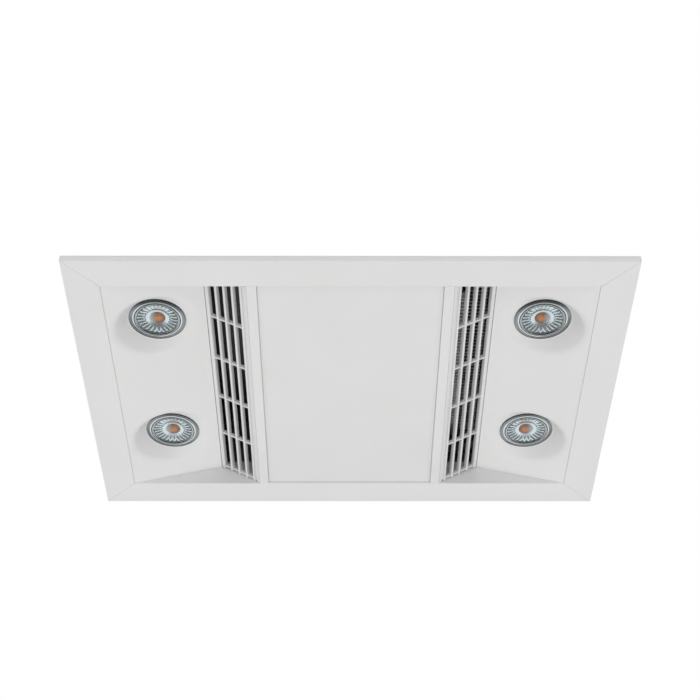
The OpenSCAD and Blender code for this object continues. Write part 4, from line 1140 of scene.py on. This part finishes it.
def stage_material(name, colour):
    """Pale matt paint that shows as plain white to the camera, in gloss and through glass."""
    material = bpy.data.materials.new(name)
    material.use_nodes = True
    tree = material.node_tree
    tree.nodes.clear()
    paint = add_node(tree, "ShaderNodeBsdfDiffuse")
    paint.inputs["Color"].default_value = (*colour, 1)
    glow = add_node(tree, "ShaderNodeEmission", Strength=1.0)
    seen = any_ray(tree, "Is Camera Ray", "Is Transmission Ray", "Is Glossy Ray")
    mix_shaders(tree, seen, paint, glow, add_node(tree, "ShaderNodeOutputMaterial"))
    return material


def ceiling():
    """A board round the cut-out, so that the housing stands hidden above it as it does in a room."""
    hole = (WALL_X + CUTOUT_GAP, WALL_Y + CUTOUT_GAP)
    rings = []
    for (x, y), z in ((hole, 0), (CEILING_HALF, 0), (CEILING_HALF, CEILING_T), (hole, CEILING_T)):
        corners = ((-x, -y), (x, -y), (x, y), (-x, y))
        rings.append([Vector((*corner, z + CEILING_CLEAR)) for corner in corners])
    bm = bmesh.new()
    loft(bm, rings + rings[:1], caps=False)
    bmesh.ops.remove_doubles(bm, verts=bm.verts, dist=WELD)
    mesh = metre_mesh("ceiling_board", bm)
    mesh.materials.append(stage_material("ceiling_paint", (0.86, 0.86, 0.86)))
    add_object("ceiling_board", mesh)


def floor():
    """White floor; metal and glass see a card on it that runs from grey in front to white behind."""
    half, z = FLOOR_HALF, FLOOR_Z
    mesh = bpy.data.meshes.new("floor")
    mesh.from_pydata(
        [(-half, -half, z), (half, -half, z), (half, half, z), (-half, half, z)], [], [(0, 1, 2, 3)],
    )
    material, tree, shader = new_material("floor_paint", Roughness=0.8)
    drive(tree, shader, "Base Color", noise(tree, 0.8, 2), grey(0.86), grey(0.88))
    split = add_node(tree, "ShaderNodeSeparateXYZ")
    tree.links.new(position(tree), split.inputs[0])
    reach = add_node(tree, "ShaderNodeMapRange", From_Min=CARD_FROM, From_Max=CARD_TO)
    tree.links.new(split.outputs["Y"], reach.inputs["Value"])
    card = ramp(tree, reach.outputs[0], [(0.0, grey(0.10)), (0.78, grey(0.20)), (1.0, grey(1.0))])
    glow = add_node(tree, "ShaderNodeEmission", Strength=1.0)
    tree.links.new(card, glow.inputs["Color"])
    seen = any_ray(tree, "Is Glossy Ray", "Is Transmission Ray")
    mix_shaders(tree, seen, shader, glow, tree.nodes["Material Output"])
    mesh.materials.append(material)
    add_object("floor", mesh)


def world(light):
    """Even studio light, and plain white where the camera, a gloss or a lens looks past the unit."""
    made = bpy.data.worlds.new("studio")
    bpy.context.scene.world = made
    made.use_nodes = True
    tree = made.node_tree
    tree.nodes.clear()
    soft = add_node(tree, "ShaderNodeBackground", Strength=light)
    white = add_node(tree, "ShaderNodeBackground", Strength=1.0)
    for background in (soft, white):
        background.inputs["Color"].default_value = (1, 1, 1, 1)
    seen = any_ray(tree, "Is Camera Ray", "Is Transmission Ray", "Is Glossy Ray")
    mix_shaders(tree, seen, soft, white, add_node(tree, "ShaderNodeOutputWorld"))


def softbox(name, place, target, size, power, gloss=False):
    """A square lamp that the camera doesn't see; gloss lets metal and glass see it."""
    light = bpy.data.lights.new(name, "AREA")
    light.shape = "SQUARE"
    light.size = size
    light.energy = power
    obj = add_object(name, light)
    obj.location = place
    obj.rotation_euler = (Vector(target) - Vector(place)).to_track_quat("-Z", "Y").to_euler()
    obj.visible_camera = False
    obj.visible_glossy = gloss
    obj.visible_transmission = gloss


def camera():
    """The photograph's view: below and in front, by a fit to the fascia's corners and the lamps."""
    place = Vector(CAMERA_AT)
    pitch, yaw, roll = (math.radians(degrees) for degrees in PITCH_YAW_ROLL)
    ahead = Vector((math.sin(yaw) * math.cos(pitch), math.cos(yaw) * math.cos(pitch), math.sin(pitch)))
    right = Vector((math.cos(yaw), -math.sin(yaw), 0))
    up = right.cross(ahead)
    side = right * math.cos(roll) + up * math.sin(roll)
    top = up * math.cos(roll) - right * math.sin(roll)
    data = bpy.data.cameras.new("camera")
    data.lens, data.sensor_width = FOCAL_MM, SENSOR_MM
    data.clip_start, data.clip_end = 0.05, 50
    obj = add_object("camera", data)
    obj.matrix_world = Matrix((
        (side.x, top.x, -ahead.x, place.x),
        (side.y, top.y, -ahead.y, place.y),
        (side.z, top.z, -ahead.z, place.z),
        (0, 0, 0, 1),
    ))
    bpy.context.scene.camera = obj


ceiling()
floor()
world(light=0.45)
softbox("below", (0, 0, -2.3), ORIGIN, size=2.0, power=13.5)
softbox("left", (-2.4, 0.1, -1.5), ORIGIN, size=1.6, power=12)
softbox("right", (2.4, 0.1, -1.5), ORIGIN, size=1.6, power=12)
softbox("front", (0, -2.6, -1.0), ORIGIN, size=1.6, power=12)
softbox("top", (0.9, 1.3, 1.9), (0, 0, 0.1), size=1.5, power=12, gloss=True)
camera()

bpy.context.scene.view_settings.view_transform = "Standard"
